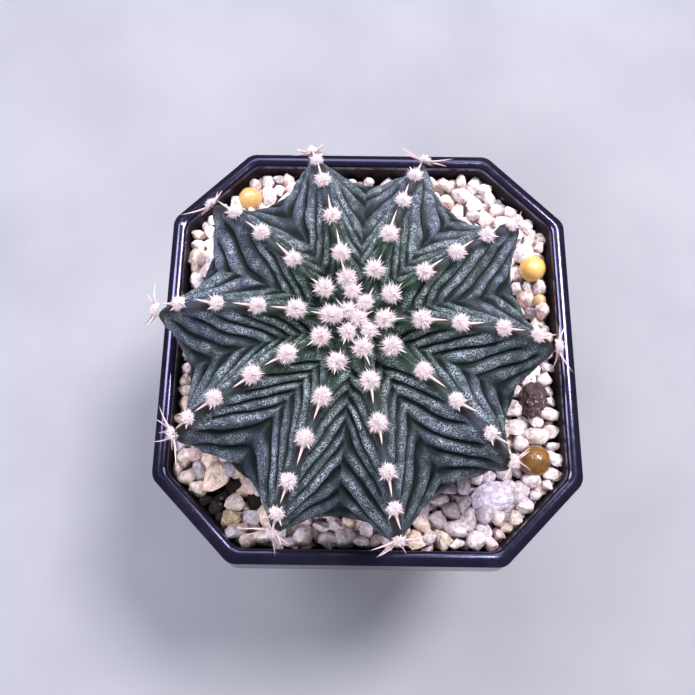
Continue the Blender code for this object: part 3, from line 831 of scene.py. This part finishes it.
class CACTUS_OT_body(Operator):
    """Make the ribbed body with its cross ridges and its swellings under the areoles"""

    bl_idname = "cactus.body"
    bl_label = "Cactus Body"

    def execute(self, context):
        settings = context.scene.cactus_plant
        azimuths, offsets, reaches, ribs, flanks = columns_of_ribs()
        shares, under, arcs, crest_length = profile_rows(settings)
        grid = smooth_body(settings, shares, under, offsets, reaches, azimuths)
        areole_arcs = []
        for rib in range(RIB_COUNT):
            places = [areole_share(settings, rib, node) for node in reversed(rib_nodes(rib))]
            areole_arcs.append(np.interp(places, shares[:UPPER_ROWS], arcs[:UPPER_ROWS]))
        ridge = ridge_pattern(settings, grid, arcs, offsets, ribs, flanks, areole_arcs)
        arc_share = arcs[:, None]
        flank = smooth_step(offsets, 0.03, 0.26) * (1 - 0.45 * smooth_step(offsets, 0.80, 1.0))
        extent = smooth_step(arc_share, 0.05, 0.22) * (1 - 0.8 * smooth_step(arc_share, 1.02, 1.5))
        strength = flank * extent
        across = BODY_RADIUS * shares[:, None] * HALF_RIB * offsets
        swell = np.zeros(ridge.shape)
        socket = np.zeros(ridge.shape)
        for rib, centres in enumerate(areole_arcs):
            mine = ribs == rib
            for centre in centres:
                along = (arc_share - centre) * crest_length
                lift = 0.2 if centre == centres[-1] else 1
                swell[:, mine] += lift * bell(along, across[:, mine], 1.5 * MM, 1.3 * MM)
                # The socket mask: painted spine shadow, centred just outside each areole along the
                # crest
                socket[:, mine] += bell(along - 1.9 * MM, across[:, mine], 1.5 * MM, 0.9 * MM)
        rng = np.random.default_rng(5)
        fine = waves(grid, 1.9 * MM, rng) * 0.04 * MM * smooth_step(arc_share, 0.1, 0.3)
        height = settings.ridge_height * (ridge - 0.72) * strength
        height = height + settings.bump_height * swell + fine
        height[UPPER_ROWS + UNDER_ROWS - 4 :] = 0
        grid = lifted(grid, height)
        root = []
        for narrow, deep in ((0.75, 0.25), (0.4, 0.65)):
            ring = grid[-1].copy()
            ring[:, :2] = AXIS + (ring[:, :2] - AXIS) * narrow
            ring[:, 2] = NECK_Z + (ROOT_Z - NECK_Z) * deep
            root.append(ring)
        grid = np.concatenate([grid, np.stack(root)])
        points, faces = closed_surface(grid, (*AXIS, grid[0, :, 2].mean()), (*AXIS, ROOT_Z))
        body = add_piece("cactus", points, faces, [skin_finish(settings)])
        # Painted shade: the skin is darkened towards the grooves between the ribs
        groove_shade = 0.40 * smooth_step(offsets, 0.70, 1.0) * extent
        given = {
            # The ridge attribute is the ridges' own pattern, with painted shade in the furrows and
            # grooves
            "ridge": np.clip(1 - strength * (1 - ridge) - groove_shade, 0, 1),
            "crest": bell(0, across, 1, 0.8 * MM),
            "outward": np.broadcast_to(arc_share, ridge.shape),
            "socket": socket,
        }
        for name, values in given.items():
            whole = np.pad(values, ((0, len(root)), (0, 0)), mode="edge")
            give(body, name, np.concatenate([whole.ravel(), [whole[0].mean(), whole[-1].mean()]]))
        finish_piece(body, ["cactus_body"])
        return {"FINISHED"}


# ---- Areoles --------------------------------------------------------------------------

WOOL_SIDES = 3
SPINE_SIDES = 6


def strands(base, axes, starts, aims, lengths, widths, bends, tones, sides):
    """Tapered strands from local starts along local aims, closed at both ends, with as many
    rings as sides. The middle line of each is start + aim length u + bend u^2 for u from 0 to
    1, and its width falls as (1 - u)^0.8. Besides points and faces it gives each point's u,
    its place round the strand and the strand's tone."""
    starts, aims, bends = base + starts @ axes, aims @ axes, bends @ axes
    count = len(starts)
    each = sides * sides + 2
    share = (np.arange(sides) / sides)[None, :, None]
    middle = starts[:, None] + aims[:, None] * lengths[:, None, None] * share
    middle = middle + bends[:, None] * share**2
    other = np.where(np.abs(aims[:, 2:]) < 0.9, [[0.0, 0.0, 1.0]], [[1.0, 0.0, 0.0]])
    first = np.cross(aims, other)
    first /= np.linalg.norm(first, axis=1, keepdims=True)
    second = np.cross(aims, first)
    angles = (2 * math.pi * np.arange(sides) / sides)[:, None]
    spread = first[:, None, None] * np.cos(angles) + second[:, None, None] * np.sin(angles)
    width = (widths[:, None] / 2 * (1 - share[..., 0]) ** 0.8)[..., None, None]
    rim = middle[:, :, None] + spread * width
    tip = starts + aims * lengths[:, None] + bends
    points = np.concatenate([rim.reshape(count, -1, 3), starts[:, None], tip[:, None]], axis=1)
    ring, side = np.mgrid[0 : sides - 1, 0:sides]
    here = (ring * sides + side).ravel()
    beside = (ring * sides + (side + 1) % sides).ravel()
    quads = np.stack([here, beside, beside + sides, here + sides], axis=1)
    side = np.arange(sides)
    after = (side + 1) % sides
    last = (sides - 1) * sides
    root = np.stack([after, side, np.full(sides, each - 2)], axis=1)
    point = np.stack([last + side, last + after, np.full(sides, each - 1)], axis=1)
    offset = (np.arange(count) * each)[:, None, None]
    faces = [(face + offset).reshape(-1, face.shape[1]) for face in (quads, root, point)]
    along = np.concatenate([np.repeat(share[0, :, 0], sides), [0, 1]])
    around = np.arange(each) % sides / sides
    values = [np.tile(along, count), np.tile(around, count), np.repeat(tones, each)]
    return [points.reshape(-1, 3), faces, *values]


def joined(parts):
    """Joins (points, face arrays, values...) of several shapes into one set."""
    starts = np.cumsum([0, *(len(part[0]) for part in parts)])
    faces = [face + start for part, start in zip(parts, starts) for face in part[1]]
    stacked = [np.concatenate([part[i] for part in parts]) for i in range(len(parts[0])) if i != 1]
    return [stacked[0], faces, *stacked[1:]]


def tuft(rng, axes, base, count, reach, width, longest=1.0, lean=1.62):
    """One tuft of wool on a dome. Locally x runs out along the crest, y across it and z up.
    Directions are even over the dome, down to lean from its top, and then scattered. The
    first two fifths of the strands are short and thick and make the dense core. The others
    are up to longest times the reach."""
    index = np.arange(count)
    turn = index * math.pi * (3 - math.sqrt(5)) + rng.uniform(0, 6)
    tilt = np.arccos(1 - rng.permutation(index + 0.5) / count * (1 - math.cos(lean)))
    flat = [np.sin(tilt) * np.cos(turn), np.sin(tilt) * np.sin(turn)]
    aims = np.stack([*flat, np.cos(tilt)], axis=1) + rng.normal(0, 0.16, (count, 3))
    aims /= np.linalg.norm(aims, axis=1, keepdims=True)
    core = index < 0.4 * count
    short, long = rng.uniform(0.48, 0.68, count), rng.uniform(0.64, longest, count)
    lengths = reach * np.where(core, short, long)
    starts = aims * reach * 0.24 + rng.normal(0, reach * 0.09, (count, 3))
    starts[:, 2] = np.abs(starts[:, 2])
    bends = rng.normal(0, reach * 0.17, (count, 3))
    tones = rng.uniform(0, 0.45, count) ** 1.6
    widths = width * np.where(core, 3.0, 1.0)
    return strands(base, axes, starts, aims, lengths, widths, bends, tones, WOOL_SIDES)


def spines(rng, axes, base, aims, lengths, width, curl):
    """Spines from one areole, given as local directions and lengths."""
    count = len(aims)
    aims = np.array(aims) + rng.normal(0, 0.07, (count, 3))
    aims /= np.linalg.norm(aims, axis=1, keepdims=True)
    lengths = np.asarray(lengths) * rng.uniform(0.88, 1.04, count)
    bends = rng.normal(0, 1, (count, 3)) * curl * lengths[:, None]
    tones = rng.uniform(0, 0.8, count)
    widths = np.full(count, width)
    starts = aims * 0.25 * MM
    return strands(base, axes, starts, aims, lengths, widths, bends, tones, SPINE_SIDES)


def add_fibres(name, wool, thorns, settings, nodes):
    """One piece of wool strands and spines, with a material for each. Its UV map gives each
    strand a square cell, with the strand running up it."""
    shapes = [joined(wool), joined(thorns)]
    points, faces, along, around, tone = joined(shapes)
    finishes = [
        fibre_finish("areole_wool", (0.72, 0.61, 0.62), settings.wool, 0.85),
        fibre_finish("areole_spine", settings.spine, (0.60, 0.46, 0.46), 0.45),
    ]
    made = add_piece(name, points, faces, finishes)
    give(made, "along", along)
    give(made, "tone", tone)
    mesh = made.data
    counts = [sum(map(len, shape[1])) for shape in shapes]
    mesh.polygons.foreach_set("material_index", np.repeat(np.array([0, 1], np.int32), counts))
    tips = along == 1  # each strand ends in its tip, so counting tips numbers the strands
    lane = np.cumsum(tips) - tips
    lanes = math.ceil(math.sqrt(lane.max() + 1))
    u = (lane % lanes + 0.1 + 0.8 * around) / lanes
    v = (lane // lanes + 0.1 + 0.8 * along) / lanes
    corners = np.empty(len(mesh.loops), np.int32)
    mesh.loops.foreach_get("vertex_index", corners)
    places = np.stack([u, v], axis=1)[corners].astype(np.float32)
    mesh.uv_layers.new(name="OFBake").data.foreach_set("uv", places.ravel())
    finish_piece(made, nodes)


def crest_axes(settings, rib, share):
    """A crest point, and the directions out along the crest, across it and up from it."""
    shares = np.array([share - 0.01, share, min(share + 0.01, 0.9999)])
    below, here, above = crest_points(settings, rib, shares)
    along = (above - below) / np.linalg.norm(above - below)
    across = np.array([-math.sin(RIB_AZIMUTHS[rib]), math.cos(RIB_AZIMUTHS[rib]), 0])
    return here, np.array([along, across, np.cross(along, across)])


# Local directions of the spines and their shares of the longest one's length
INNER_SPINES = {(0.95, 0.04, 0.22): 1.0, (0.60, 0.65, 0.40): 0.45, (0.60, -0.65, 0.40): 0.45}
TIP_SPINES = {
    (0.97, 0.10, 0.10): 1.0,
    (0.78, 0.55, 0.20): 0.95,
    (0.78, -0.55, 0.25): 0.98,
    (0.42, 0.85, 0.25): 0.92,
    (0.42, -0.85, 0.25): 0.92,
    (0.02, 0.97, 0.30): 0.80,
    (0.02, -0.97, 0.30): 0.80,
}
YOUNG_SPINES = {(0.85, 0.1, 0.42): 1.9, (0.35, 0.75, 0.45): 1.3, (0.35, -0.75, 0.45): 1.3}


class CACTUS_OT_areoles(Operator):
    """Make the woolly areoles of each rib, with their spines"""

    bl_idname = "cactus.areoles"
    bl_label = "Areoles"

    def execute(self, context):
        settings = context.scene.cactus_areoles
        plant = context.scene.cactus_plant
        wide = settings.strand_width
        rng = np.random.default_rng(23)
        for rib in range(RIB_COUNT):
            wool, thorns = [], []
            for node in rib_nodes(rib):
                count, longest, width = settings.strands, settings.spine_length, settings.spine_width
                aims, curl = INNER_SPINES, 0.05
                if node.endswith("_1"):  # the rib's tip
                    count, longest, width = count * 3 // 4, settings.tip_spine_length, width * 0.8
                    aims, curl = TIP_SPINES, 0.22
                share = areole_share(plant, rib, node)
                point, axes = crest_axes(plant, rib, share)
                base = point + axes[2] * plant.bump_height
                reach = settings.strand_length * (rng.uniform(0.92, 1.06) * (1.08 - 0.30 * share))
                wool.append(tuft(rng, axes, base, count, reach, wide, 1.08 - 0.28 * share))
                lengths = [longest * part for part in aims.values()]
                thorns.append(spines(rng, axes, base, [*aims], lengths, width, curl))
            add_fibres(f"rib_areoles_{rib + 1}", wool, thorns, settings, rib_nodes(rib))
        return {"FINISHED"}


# Distance from the axis, in millimetres, of each rib's youngest areole, and the places of
# the areoles that crowd on the crown itself
YOUNG_AREOLES = (4.5, 5.5, 3.5, 5.1, 3.2, 4.8, 6.1, 4.8, 5.0, 3.0)
CROWN_AREOLES = (
    (-0.45, 3.2),
    (-2.3, 0.45),
    (1.0, 1.9),
    (-0.9, 1.0),
    (-0.9, -1.5),
    (1.45, -1.35),
    (0.3, 0.1),
)


class CACTUS_OT_crown(Operator):
    """Make the crowded young wool of the crown"""

    bl_idname = "cactus.crown"
    bl_label = "Crown Wool"

    def execute(self, context):
        settings = context.scene.cactus_areoles
        plant = context.scene.cactus_plant
        rng = np.random.default_rng(31)
        places = [
            (distance * math.cos(angle), distance * math.sin(angle), 1.10)
            for distance, angle in zip(YOUNG_AREOLES, RIB_AZIMUTHS)
        ]
        places += [(x, y, 0.95) for x, y in CROWN_AREOLES]
        count, wide = settings.strands * 3 // 5, settings.strand_width
        wool, thorns = [], []
        for x, y, size in places:
            distance = np.array(math.hypot(x, y) * MM)
            height = float(crest_height(plant, distance / BODY_RADIUS, distance))
            base = np.array([AXIS[0] + x * MM, AXIS[1] + y * MM, height + 0.15 * MM])
            angle = math.atan2(y, x)
            out = np.array([math.cos(angle), math.sin(angle), 0])
            axes = np.array([out, [-out[1], out[0], 0], [0, 0, 1]])
            wool.append(tuft(rng, axes, base, count, settings.strand_length * size, wide, 1.0, 1.45))
            lengths = np.array([*YOUNG_SPINES.values()]) * size * MM
            thorns.append(spines(rng, axes, base, [*YOUNG_SPINES], lengths, 0.42 * MM, 0.08))
        add_fibres("crown_wool_tufts", wool, thorns, settings, ["crown_wool"])
        return {"FINISHED"}


# ---- Growing medium -------------------------------------------------------------------


PUSHES = 90
TOUCHING = 0.90  # grains touch at this share of their radii's sum
PUSH_SHARE = 0.32
SINK = 0.025 * MM


def body_radius_at(z):
    """The body's radius at heights in the bed, from the paraboloid of its underside."""
    share = np.sqrt(np.clip(1 - (EQUATOR_Z - z) / UNDERSIDE_DEPTH, NECK_SHARE**2, 1))
    return BODY_RADIUS * 0.98 * share


def scattered(rng, count, low, high):
    """Random places over the pot's whole width, between two heights."""
    half = (POT_HIGH - POT_LOW)[:2] / 2
    return np.column_stack([rng.uniform(-1, 1, (count, 2)) * half, rng.uniform(low, high, count)])


def push_inside(settings, places, radii):
    """Moves places in from the pot's wall until a ball of each radius fits."""
    normals, distances = half_planes(settings, 0)
    room = distances - inner_inset(settings, places[:, 2])[:, None] - radii[:, None]
    over = np.maximum(places[:, :2] @ normals.T - room, 0)
    worst = over.argmax(axis=1)
    places[:, :2] -= normals[worst] * over[np.arange(len(over)), worst][:, None]


def packed(settings, gravel, fixed, fixed_radii):
    """Places and radii of grains that fill the bed: random starts that push each other, the
    wall, the plant and the fixed pieces away, and sink a little at each turn."""
    rng = np.random.default_rng(3)
    places = scattered(rng, gravel.grains, MIX_Z, RIM_Z - 3 * MM)
    radii = rng.beta(1.6, 2.2, gravel.grains)
    radii = gravel.smallest + (gravel.largest - gravel.smallest) * radii
    wanted = (radii[:, None] + np.concatenate([radii, fixed_radii])[None]) * TOUCHING
    for _ in range(PUSHES):
        gap = places[:, None] - np.vstack([places, fixed])[None]
        distance = np.linalg.norm(gap, axis=2) + 1e-9
        push = np.maximum(wanted - distance, 0) * (distance > 1e-7)
        places += (gap / distance[..., None] * push[..., None]).sum(axis=1) * PUSH_SHARE
        places[:, 2] -= SINK
        places[:, 2] = np.clip(places[:, 2], MIX_Z + radii * 0.75, RIM_Z - 1.7 * MM - radii)
        from_axis = places[:, :2] - AXIS
        distance = np.linalg.norm(from_axis, axis=1)
        clear = body_radius_at(places[:, 2] + radii * 0.6) + radii * 1.05
        out = np.maximum(clear - distance, 0) / np.maximum(distance, 1e-6)
        places[:, :2] += from_axis * out[:, None]
        push_inside(settings, places, radii)
    return places, radii, rng


def grain_shapes(places, radii, rng, cuts=9):
    """Rounded angular grains: a ball of 42 points, pressed flat against random planes, then
    stretched, turned and put in place. It works on all the grains at once."""
    bpy.ops.mesh.primitive_ico_sphere_add(subdivisions=2, radius=1)
    ball = bpy.context.object.data
    template = np.array([vertex.co[:] for vertex in ball.vertices])
    faces = np.array([face.vertices[:] for face in ball.polygons])
    bpy.data.objects.remove(bpy.context.object)
    bpy.data.meshes.remove(ball)
    count = len(places)
    points = np.repeat(template[None], count, axis=0)
    for _ in range(cuts):
        normal = rng.normal(size=(count, 3))
        normal /= np.linalg.norm(normal, axis=1, keepdims=True)
        depth = rng.uniform(0.45, 0.85, count)
        over = np.einsum("nvc,nc->nv", points, normal) - depth[:, None]
        points -= normal[:, None] * np.maximum(over, 0)[..., None] * 0.92
    points *= 1 + rng.normal(0, 0.045, points.shape[:2])[..., None]
    points *= rng.uniform(0.86, 1.42, (count, 1, 3))
    points = np.einsum("nvc,ncd->nvd", points, random_turns(count, rng))
    points = places[:, None] + points * radii[:, None, None]
    starts = (np.arange(count) * len(template))[:, None, None]
    return points, (faces[None] + starts).reshape(-1, 3)


def principal_ball(node):
    """Centre, axes and half sizes of a CAD node's solid along its own principal axes."""
    points = node_points(node)
    middle = points.mean(axis=0)
    axes = np.linalg.svd(points - middle, full_matrices=False)[2]
    if np.linalg.det(axes) < 0:
        axes[2] = -axes[2]
    along = (points - middle) @ axes.T
    high, low = along.max(axis=0), along.min(axis=0)
    return middle + (high + low) / 2 @ axes, axes, (high - low) / 2


def node_ball(node):
    """Centre and mean half size of a CAD node's box."""
    low, high = (np.array(corner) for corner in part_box(node))
    return (low + high) / 2, (high - low).mean() / 2


BARE_PATCH = np.array([-19.5, -20.5]) * MM  # where soil covers the grains
BARE_RADIUS = 3.2 * MM
BARE_SINK = 1.3 * MM
DARKER_PATCH = np.array([15.0, -20.0]) * MM  # where the grains are darker
DARKER_RADIUS = 9.0 * MM


class CACTUS_OT_gravel(Operator):
    """Make the grains of the pumice top dressing"""

    bl_idname = "cactus.gravel"
    bl_label = "Pumice Grains"

    def execute(self, context):
        gravel = context.scene.cactus_gravel
        centres, sizes = map(np.array, zip(*(node_ball(node) for node in (*PRILLS, *STONES))))
        places, radii, rng = packed(context.scene.cactus_pot, gravel, centres, sizes)
        points, faces = grain_shapes(places, radii, rng)
        count = len(places)
        tints = np.tile(np.array(gravel.white), (count, 1))
        back = smooth_step(places[:, 0] + places[:, 1], -0.045, 0.03)[:, None]
        near = ((places[:, :2] - BARE_PATCH) ** 2).sum(axis=1) / (3 * BARE_RADIUS) ** 2
        kind = rng.uniform(0, 1, count) * (1 - 0.7 * np.exp(-near))
        kinds = ((0.00, 0.26, gravel.cream), (0.26, 0.34, gravel.pink), (0.34, 0.46, gravel.grey))
        for low, high, tint in kinds:
            chosen = (kind >= low) & (kind < high)
            share = rng.uniform(0.45, 1.0, count)[chosen, None] * (1 - 0.3 * back[chosen])
            tints[chosen] = tints[chosen] * (1 - share) + np.array(tint) * share
        tints *= rng.uniform(0.86, 1.04, (count, 1)) * (0.98 + 0.18 * back)
        # Grains are darker in a round patch at the front right
        in_darker_patch = ((places[:, :2] - DARKER_PATCH) ** 2).sum(axis=1) / DARKER_RADIUS**2
        tints *= 1 - np.array([0.42, 0.44, 0.40]) * np.exp(-in_darker_patch)[:, None]
        away = np.hypot(*(places[:, :2] - BARE_PATCH).T)
        bare = away + rng.normal(0, 0.8 * MM, count) < BARE_RADIUS
        tints[bare] = np.array(gravel.mix) * rng.uniform(0.4, 1.4, (count, 1))[bare]
        points[bare, :, 2] -= BARE_SINK
        finish = grain_finish("pumice_grain", 1500.0, 0.5, 0.10 * MM, FLECKS["grains"])
        bed = add_piece("pumice_grains", points.reshape(-1, 3), [faces], [finish])
        bed.data.set_sharp_from_angle(angle=math.radians(48))
        give(bed, "tint", np.clip(np.repeat(tints, points.shape[1], axis=0), 0, 1))
        finish_piece(bed, ["pumice_topdressing"])
        return {"FINISHED"}


CRUMBS = 420
MIX_GAP = 0.35 * MM  # between the potting mix and the pot's inner wall


class CACTUS_OT_mix(Operator):
    """Make the dark potting mix under the grains, with its loose crumbs"""

    bl_idname = "cactus.mix"
    bl_label = "Potting Mix"

    def execute(self, context):
        settings = context.scene.cactus_pot
        gravel = context.scene.cactus_gravel
        rng = np.random.default_rng(17)
        wall = float(inner_inset(settings, MIX_Z))
        edge = outline(settings, wall + MIX_GAP)
        grid = edge * np.linspace(0.03, 1, 40)[:, None, None]
        height = MIX_Z + waves(grid, 2.4 * MM, rng) * 0.35 * MM
        height += waves(grid, 0.9 * MM, rng) * 0.14 * MM
        near = np.linalg.norm(grid - AXIS, axis=-1)
        height -= 1.2 * MM * smooth_step(near, NECK_RADIUS + 1 * MM, NECK_RADIUS - 1 * MM)
        rows = list(np.concatenate([grid, height[..., None]], axis=-1))
        low = settings.floor + 0.3 * MM
        for z in (MIX_Z - 4 * MM, 2 * settings.floor, low):
            ring = outline(settings, max(float(inner_inset(settings, z)), wall) + MIX_GAP)
            rows.append(np.column_stack([ring, np.full(len(ring), z)]))
        points, faces = closed_surface(np.stack(rows), (0, 0, height[0].mean()), (0, 0, low))
        places = scattered(rng, CRUMBS, MIX_Z, BED_Z + 0.4 * MM)
        radii = rng.uniform(0.25, 0.75, CRUMBS) * MM
        push_inside(settings, places, radii)
        away = np.linalg.norm(places[:, :2] - AXIS, axis=1)
        places = places[away > body_radius_at(BED_Z) + 1 * MM]
        crumbs, crumb_faces = grain_shapes(places, radii[: len(places)], rng, cuts=4)
        shape = joined([(points, faces), (crumbs.reshape(-1, 3), [crumb_faces])])
        finish = earth_finish("dark_mix", gravel.mix, (0.075, 0.048, 0.036))
        mix = add_piece("potting_mix_crumbs", *shape, [finish])
        finish_piece(mix, ["potting_mix"])
        return {"FINISHED"}


# Each prill: its base colour, its deeper colour and how clear it is
PRILLS = {
    "fertiliser_prill_1": ((0.78, 0.50, 0.17), (0.62, 0.36, 0.09), 0.25),
    "fertiliser_prill_2": ((0.62, 0.38, 0.15), (0.50, 0.28, 0.09), 0.20),
    "fertiliser_prill_3": ((0.22, 0.105, 0.025), (0.10, 0.042, 0.012), 0.25),
    "fertiliser_prill_4": ((0.66, 0.44, 0.24), (0.54, 0.32, 0.15), 0.15),
}


class CACTUS_OT_prills(Operator):
    """Make the round fertiliser prills"""

    bl_idname = "cactus.prills"
    bl_label = "Fertiliser Prills"

    def execute(self, context):
        rng = np.random.default_rng(41)
        for node, (base, deep, clarity) in PRILLS.items():
            low, high = (np.array(corner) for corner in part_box(node))
            centre, half = (low + high) / 2, (high - low) / 2 * 0.985
            ball = ball_points(47, 96)
            uneven = 0.012 * waves(ball, 1.3, rng) + 0.004 * waves(ball, 0.35, rng)
            ball = ball * (1 + uneven)[..., None]
            pole = np.array([0, 0, half[2]])
            points, faces = closed_surface(centre + ball * half, centre + pole, centre - pole)
            finish = prill_finish(node + "_coat", base, deep, clarity)
            made = add_piece(node + "_coated", points, faces, [finish])
            finish_piece(made, [node])
        return {"FINISHED"}


# Each stone: how many flat cuts it has and how deep, its bumps, its pits and their depth,
# and its colour
STONES = {
    "lava_stone": (8, 0.90, 0.030, 260, 0.09, (0.075, 0.045, 0.050), "lava"),
    "large_pumice_stone": (7, 0.92, 0.012, 40, 0.03, (0.58, 0.53, 0.66), "pumice"),
    "tan_stone": (9, 0.60, 0.006, 6, 0.02, (0.99, 0.80, 0.66), "tan_stone"),
    "brown_stone": (8, 0.78, 0.060, 60, 0.08, (0.40, 0.30, 0.21), "brown_stone"),
}


# Colour, cells in a metre and share of the flecks in the stones
FLECKS = {
    "lava": ((0.50, 0.38, 0.40), 3200.0, 0.55),
    "pumice": ((0.30, 0.26, 0.36), 2600.0, 0.10),
    "tan_stone": ((0.60, 0.40, 0.30), 2200.0, 0.03),
    "brown_stone": ((0.16, 0.12, 0.11), 2600.0, 0.08),
    "grains": ((0.16, 0.12, 0.11), 1500.0, 0.10),
}
CUT_SHARPNESS = 22


class CACTUS_OT_stones(Operator):
    """Make the loose stones on the bed"""

    bl_idname = "cactus.stones"
    bl_label = "Loose Stones"

    def execute(self, context):
        for number, (node, values) in enumerate(STONES.items()):
            cuts, keep, bumps, pits, pit_depth, tint, slot = values
            rng = np.random.default_rng(60 + number)
            centre, axes, half = principal_ball(node)
            pole = np.tile([0, 0, 1.0], (1, 120, 1))
            ball = np.concatenate([pole, ball_points(79, 120), -pole])
            size = np.ones(ball.shape[:2])
            for _ in range(cuts):
                normal = rng.normal(size=3)
                facing = ball @ (normal / np.linalg.norm(normal))
                flat = keep * rng.uniform(0.92, 1.1) / np.maximum(facing, 0.05)
                flat = np.where(facing > 0.05, flat, 9)
                smaller = np.exp(-CUT_SHARPNESS * size) + np.exp(-CUT_SHARPNESS * flat)
                size = -np.log(smaller) / CUT_SHARPNESS
            size *= 1 + bumps * waves(ball, 0.55, rng) + bumps * 0.5 * waves(ball, 0.2, rng)
            for _ in range(pits):
                normal = rng.normal(size=3)
                normal /= np.linalg.norm(normal)
                width = rng.uniform(0.05, 0.16)
                away = ((ball - normal) ** 2).sum(axis=-1)
                size -= pit_depth * rng.uniform(0.3, 1) * np.exp(-away / width**2)
            shape = ball * size[..., None]
            high, low = shape.max(axis=(0, 1)), shape.min(axis=(0, 1))
            shape = centre + (shape - (high + low) / 2) / ((high - low) / 2) * half @ axes
            points, faces = closed_surface(shape[1:-1], shape[0, 0], shape[-1, 0])
            finish = grain_finish(node + "_mineral", 1400.0, 0.6, 0.12 * MM, FLECKS[slot])
            made = add_piece(node + "_worn", points, faces, [finish])
            give(made, "tint", np.tile(tint, (len(points), 1)))
            finish_piece(made, [node])
        return {"FINISHED"}


# ---- Stage ----------------------------------------------------------------------------


# Place, diameter and colour of each light, and whether shiny surfaces mirror it
LIGHTS = {
    "key": ((0.16, 0.14, 0.44), 0.13, (1.0, 0.98, 1.0), True),
    "fill": ((-0.20, 0.13, 0.42), 0.16, (0.90, 0.91, 1.0), True),
    "back": ((0.0, 0.30, 0.40), 0.22, (0.88, 0.88, 1.0), True),
    "front": ((-0.12, -0.26, 0.34), 0.30, (0.92, 0.92, 1.0), False),
}
MIRRORED_SKY = 0.3  # share of the even light that shiny surfaces mirror
FLOOR_HALF = 1.5
FOCAL_LENGTH = 36.26  # millimetres, on a sensor 36 wide
CAMERA_PLACE = Vector((-2.41 * MM, -26.71 * MM, RIM_Z + 91.56 * MM))
CAMERA_ACROSS = Vector((1.000, 0.013, -0.001)).normalized()
CAMERA_AHEAD = Vector((-0.004, 0.274, -0.962)).normalized()


def area_light(name, place, size, tint, mirrored, power):
    """A round area light that faces the middle of the pot's rim."""
    light = bpy.data.lights.new(name, "AREA")
    light.shape = "DISK"
    light.size = size
    light.energy = power
    light.color = tint
    made = bpy.data.objects.new(name, light)
    made.location = place
    aim = Vector((0, 0, RIM_Z)) - Vector(place)
    made.rotation_euler = aim.to_track_quat("-Z", "Y").to_euler()
    made.visible_glossy = mirrored
    bpy.context.scene.collection.objects.link(made)


class CACTUS_OT_stage(Operator):
    """Make the floor, the lights and the camera"""

    bl_idname = "cactus.stage"
    bl_label = "Stage"

    def execute(self, context):
        scene = context.scene
        settings = scene.cactus_stage
        made, nodes, shader = new_finish("floor_paper")
        tone = nodes.between(nodes.noise(30, 3, 0.5), 0.3, 0.7, 0.0, 0.08)
        tone = nodes.mix(tone, settings.floor, (0.70, 0.70, 0.73))
        nodes.fill(shader, {"Base Color": tone, "Roughness": 0.9})
        corners = np.array([[-1, -1, 0], [1, -1, 0], [1, 1, 0], [-1, 1, 0]]) * FLOOR_HALF
        floor = add_piece("floor", corners, [np.array([[0, 1, 2, 3]])], [made], smooth=False)
        for name, values in LIGHTS.items():
            area_light(name, *values, getattr(settings, name + "_power"))
        world = bpy.data.worlds.new("even_light")
        world.use_nodes = True
        nodes = Nodes(world.node_tree)
        mirrored = nodes.add("ShaderNodeLightPath").outputs["Is Glossy Ray"]
        strength = nodes.between(mirrored, 0.0, 1.0, settings.sky, MIRRORED_SKY * settings.sky)
        sky = {"Color": (0.80, 0.82, 1.0), "Strength": strength}
        nodes.fill(world.node_tree.nodes["Background"], sky)
        scene.world = world
        lens = bpy.data.cameras.new("camera")
        lens.sensor_width = 36
        lens.lens = FOCAL_LENGTH
        lens.clip_start = 0.005
        camera = bpy.data.objects.new("camera", lens)
        up = CAMERA_ACROSS.cross(CAMERA_AHEAD).normalized()
        turn = Matrix((CAMERA_AHEAD.cross(up).normalized(), up, -CAMERA_AHEAD))
        camera.matrix_world = Matrix.Translation(CAMERA_PLACE) @ turn.transposed().to_4x4()
        scene.collection.objects.link(camera)
        scene.camera = camera
        scene.view_settings.view_transform = "Standard"
        return {"FINISHED"}


# ---- Panel and registration -----------------------------------------------------------

OPERATORS = (
    CACTUS_OT_pot,
    CACTUS_OT_mix,
    CACTUS_OT_gravel,
    CACTUS_OT_prills,
    CACTUS_OT_stones,
    CACTUS_OT_body,
    CACTUS_OT_areoles,
    CACTUS_OT_crown,
    CACTUS_OT_stage,
)
SETTINGS = {
    "cactus_pot": PotSettings,
    "cactus_plant": PlantSettings,
    "cactus_areoles": AreoleSettings,
    "cactus_gravel": GravelSettings,
    "cactus_stage": StageSettings,
}


class CACTUS_PT_panel(Panel):
    """Lists the pieces' operators and their settings"""

    bl_label = "Potted Cactus"
    bl_space_type = "VIEW_3D"
    bl_region_type = "UI"
    bl_category = "Cactus"

    def draw(self, context):
        for operator in OPERATORS:
            self.layout.operator(operator.bl_idname)
        for name, group in SETTINGS.items():
            box = self.layout.box()
            for each in group.__annotations__:
                box.prop(getattr(context.scene, name), each)


def register():
    for name, group in SETTINGS.items():
        bpy.utils.register_class(group)
        setattr(bpy.types.Scene, name, PointerProperty(type=group))
    for made in (*OPERATORS, CACTUS_PT_panel):
        bpy.utils.register_class(made)


def unregister():
    for made in (CACTUS_PT_panel, *reversed(OPERATORS)):
        bpy.utils.unregister_class(made)
    for name, group in SETTINGS.items():
        delattr(bpy.types.Scene, name)
        bpy.utils.unregister_class(group)


def main():
    register()
    for operator in OPERATORS:
        family, name = operator.bl_idname.split(".")
        getattr(getattr(bpy.ops, family), name)()


if __name__ == "__main__":
    main()
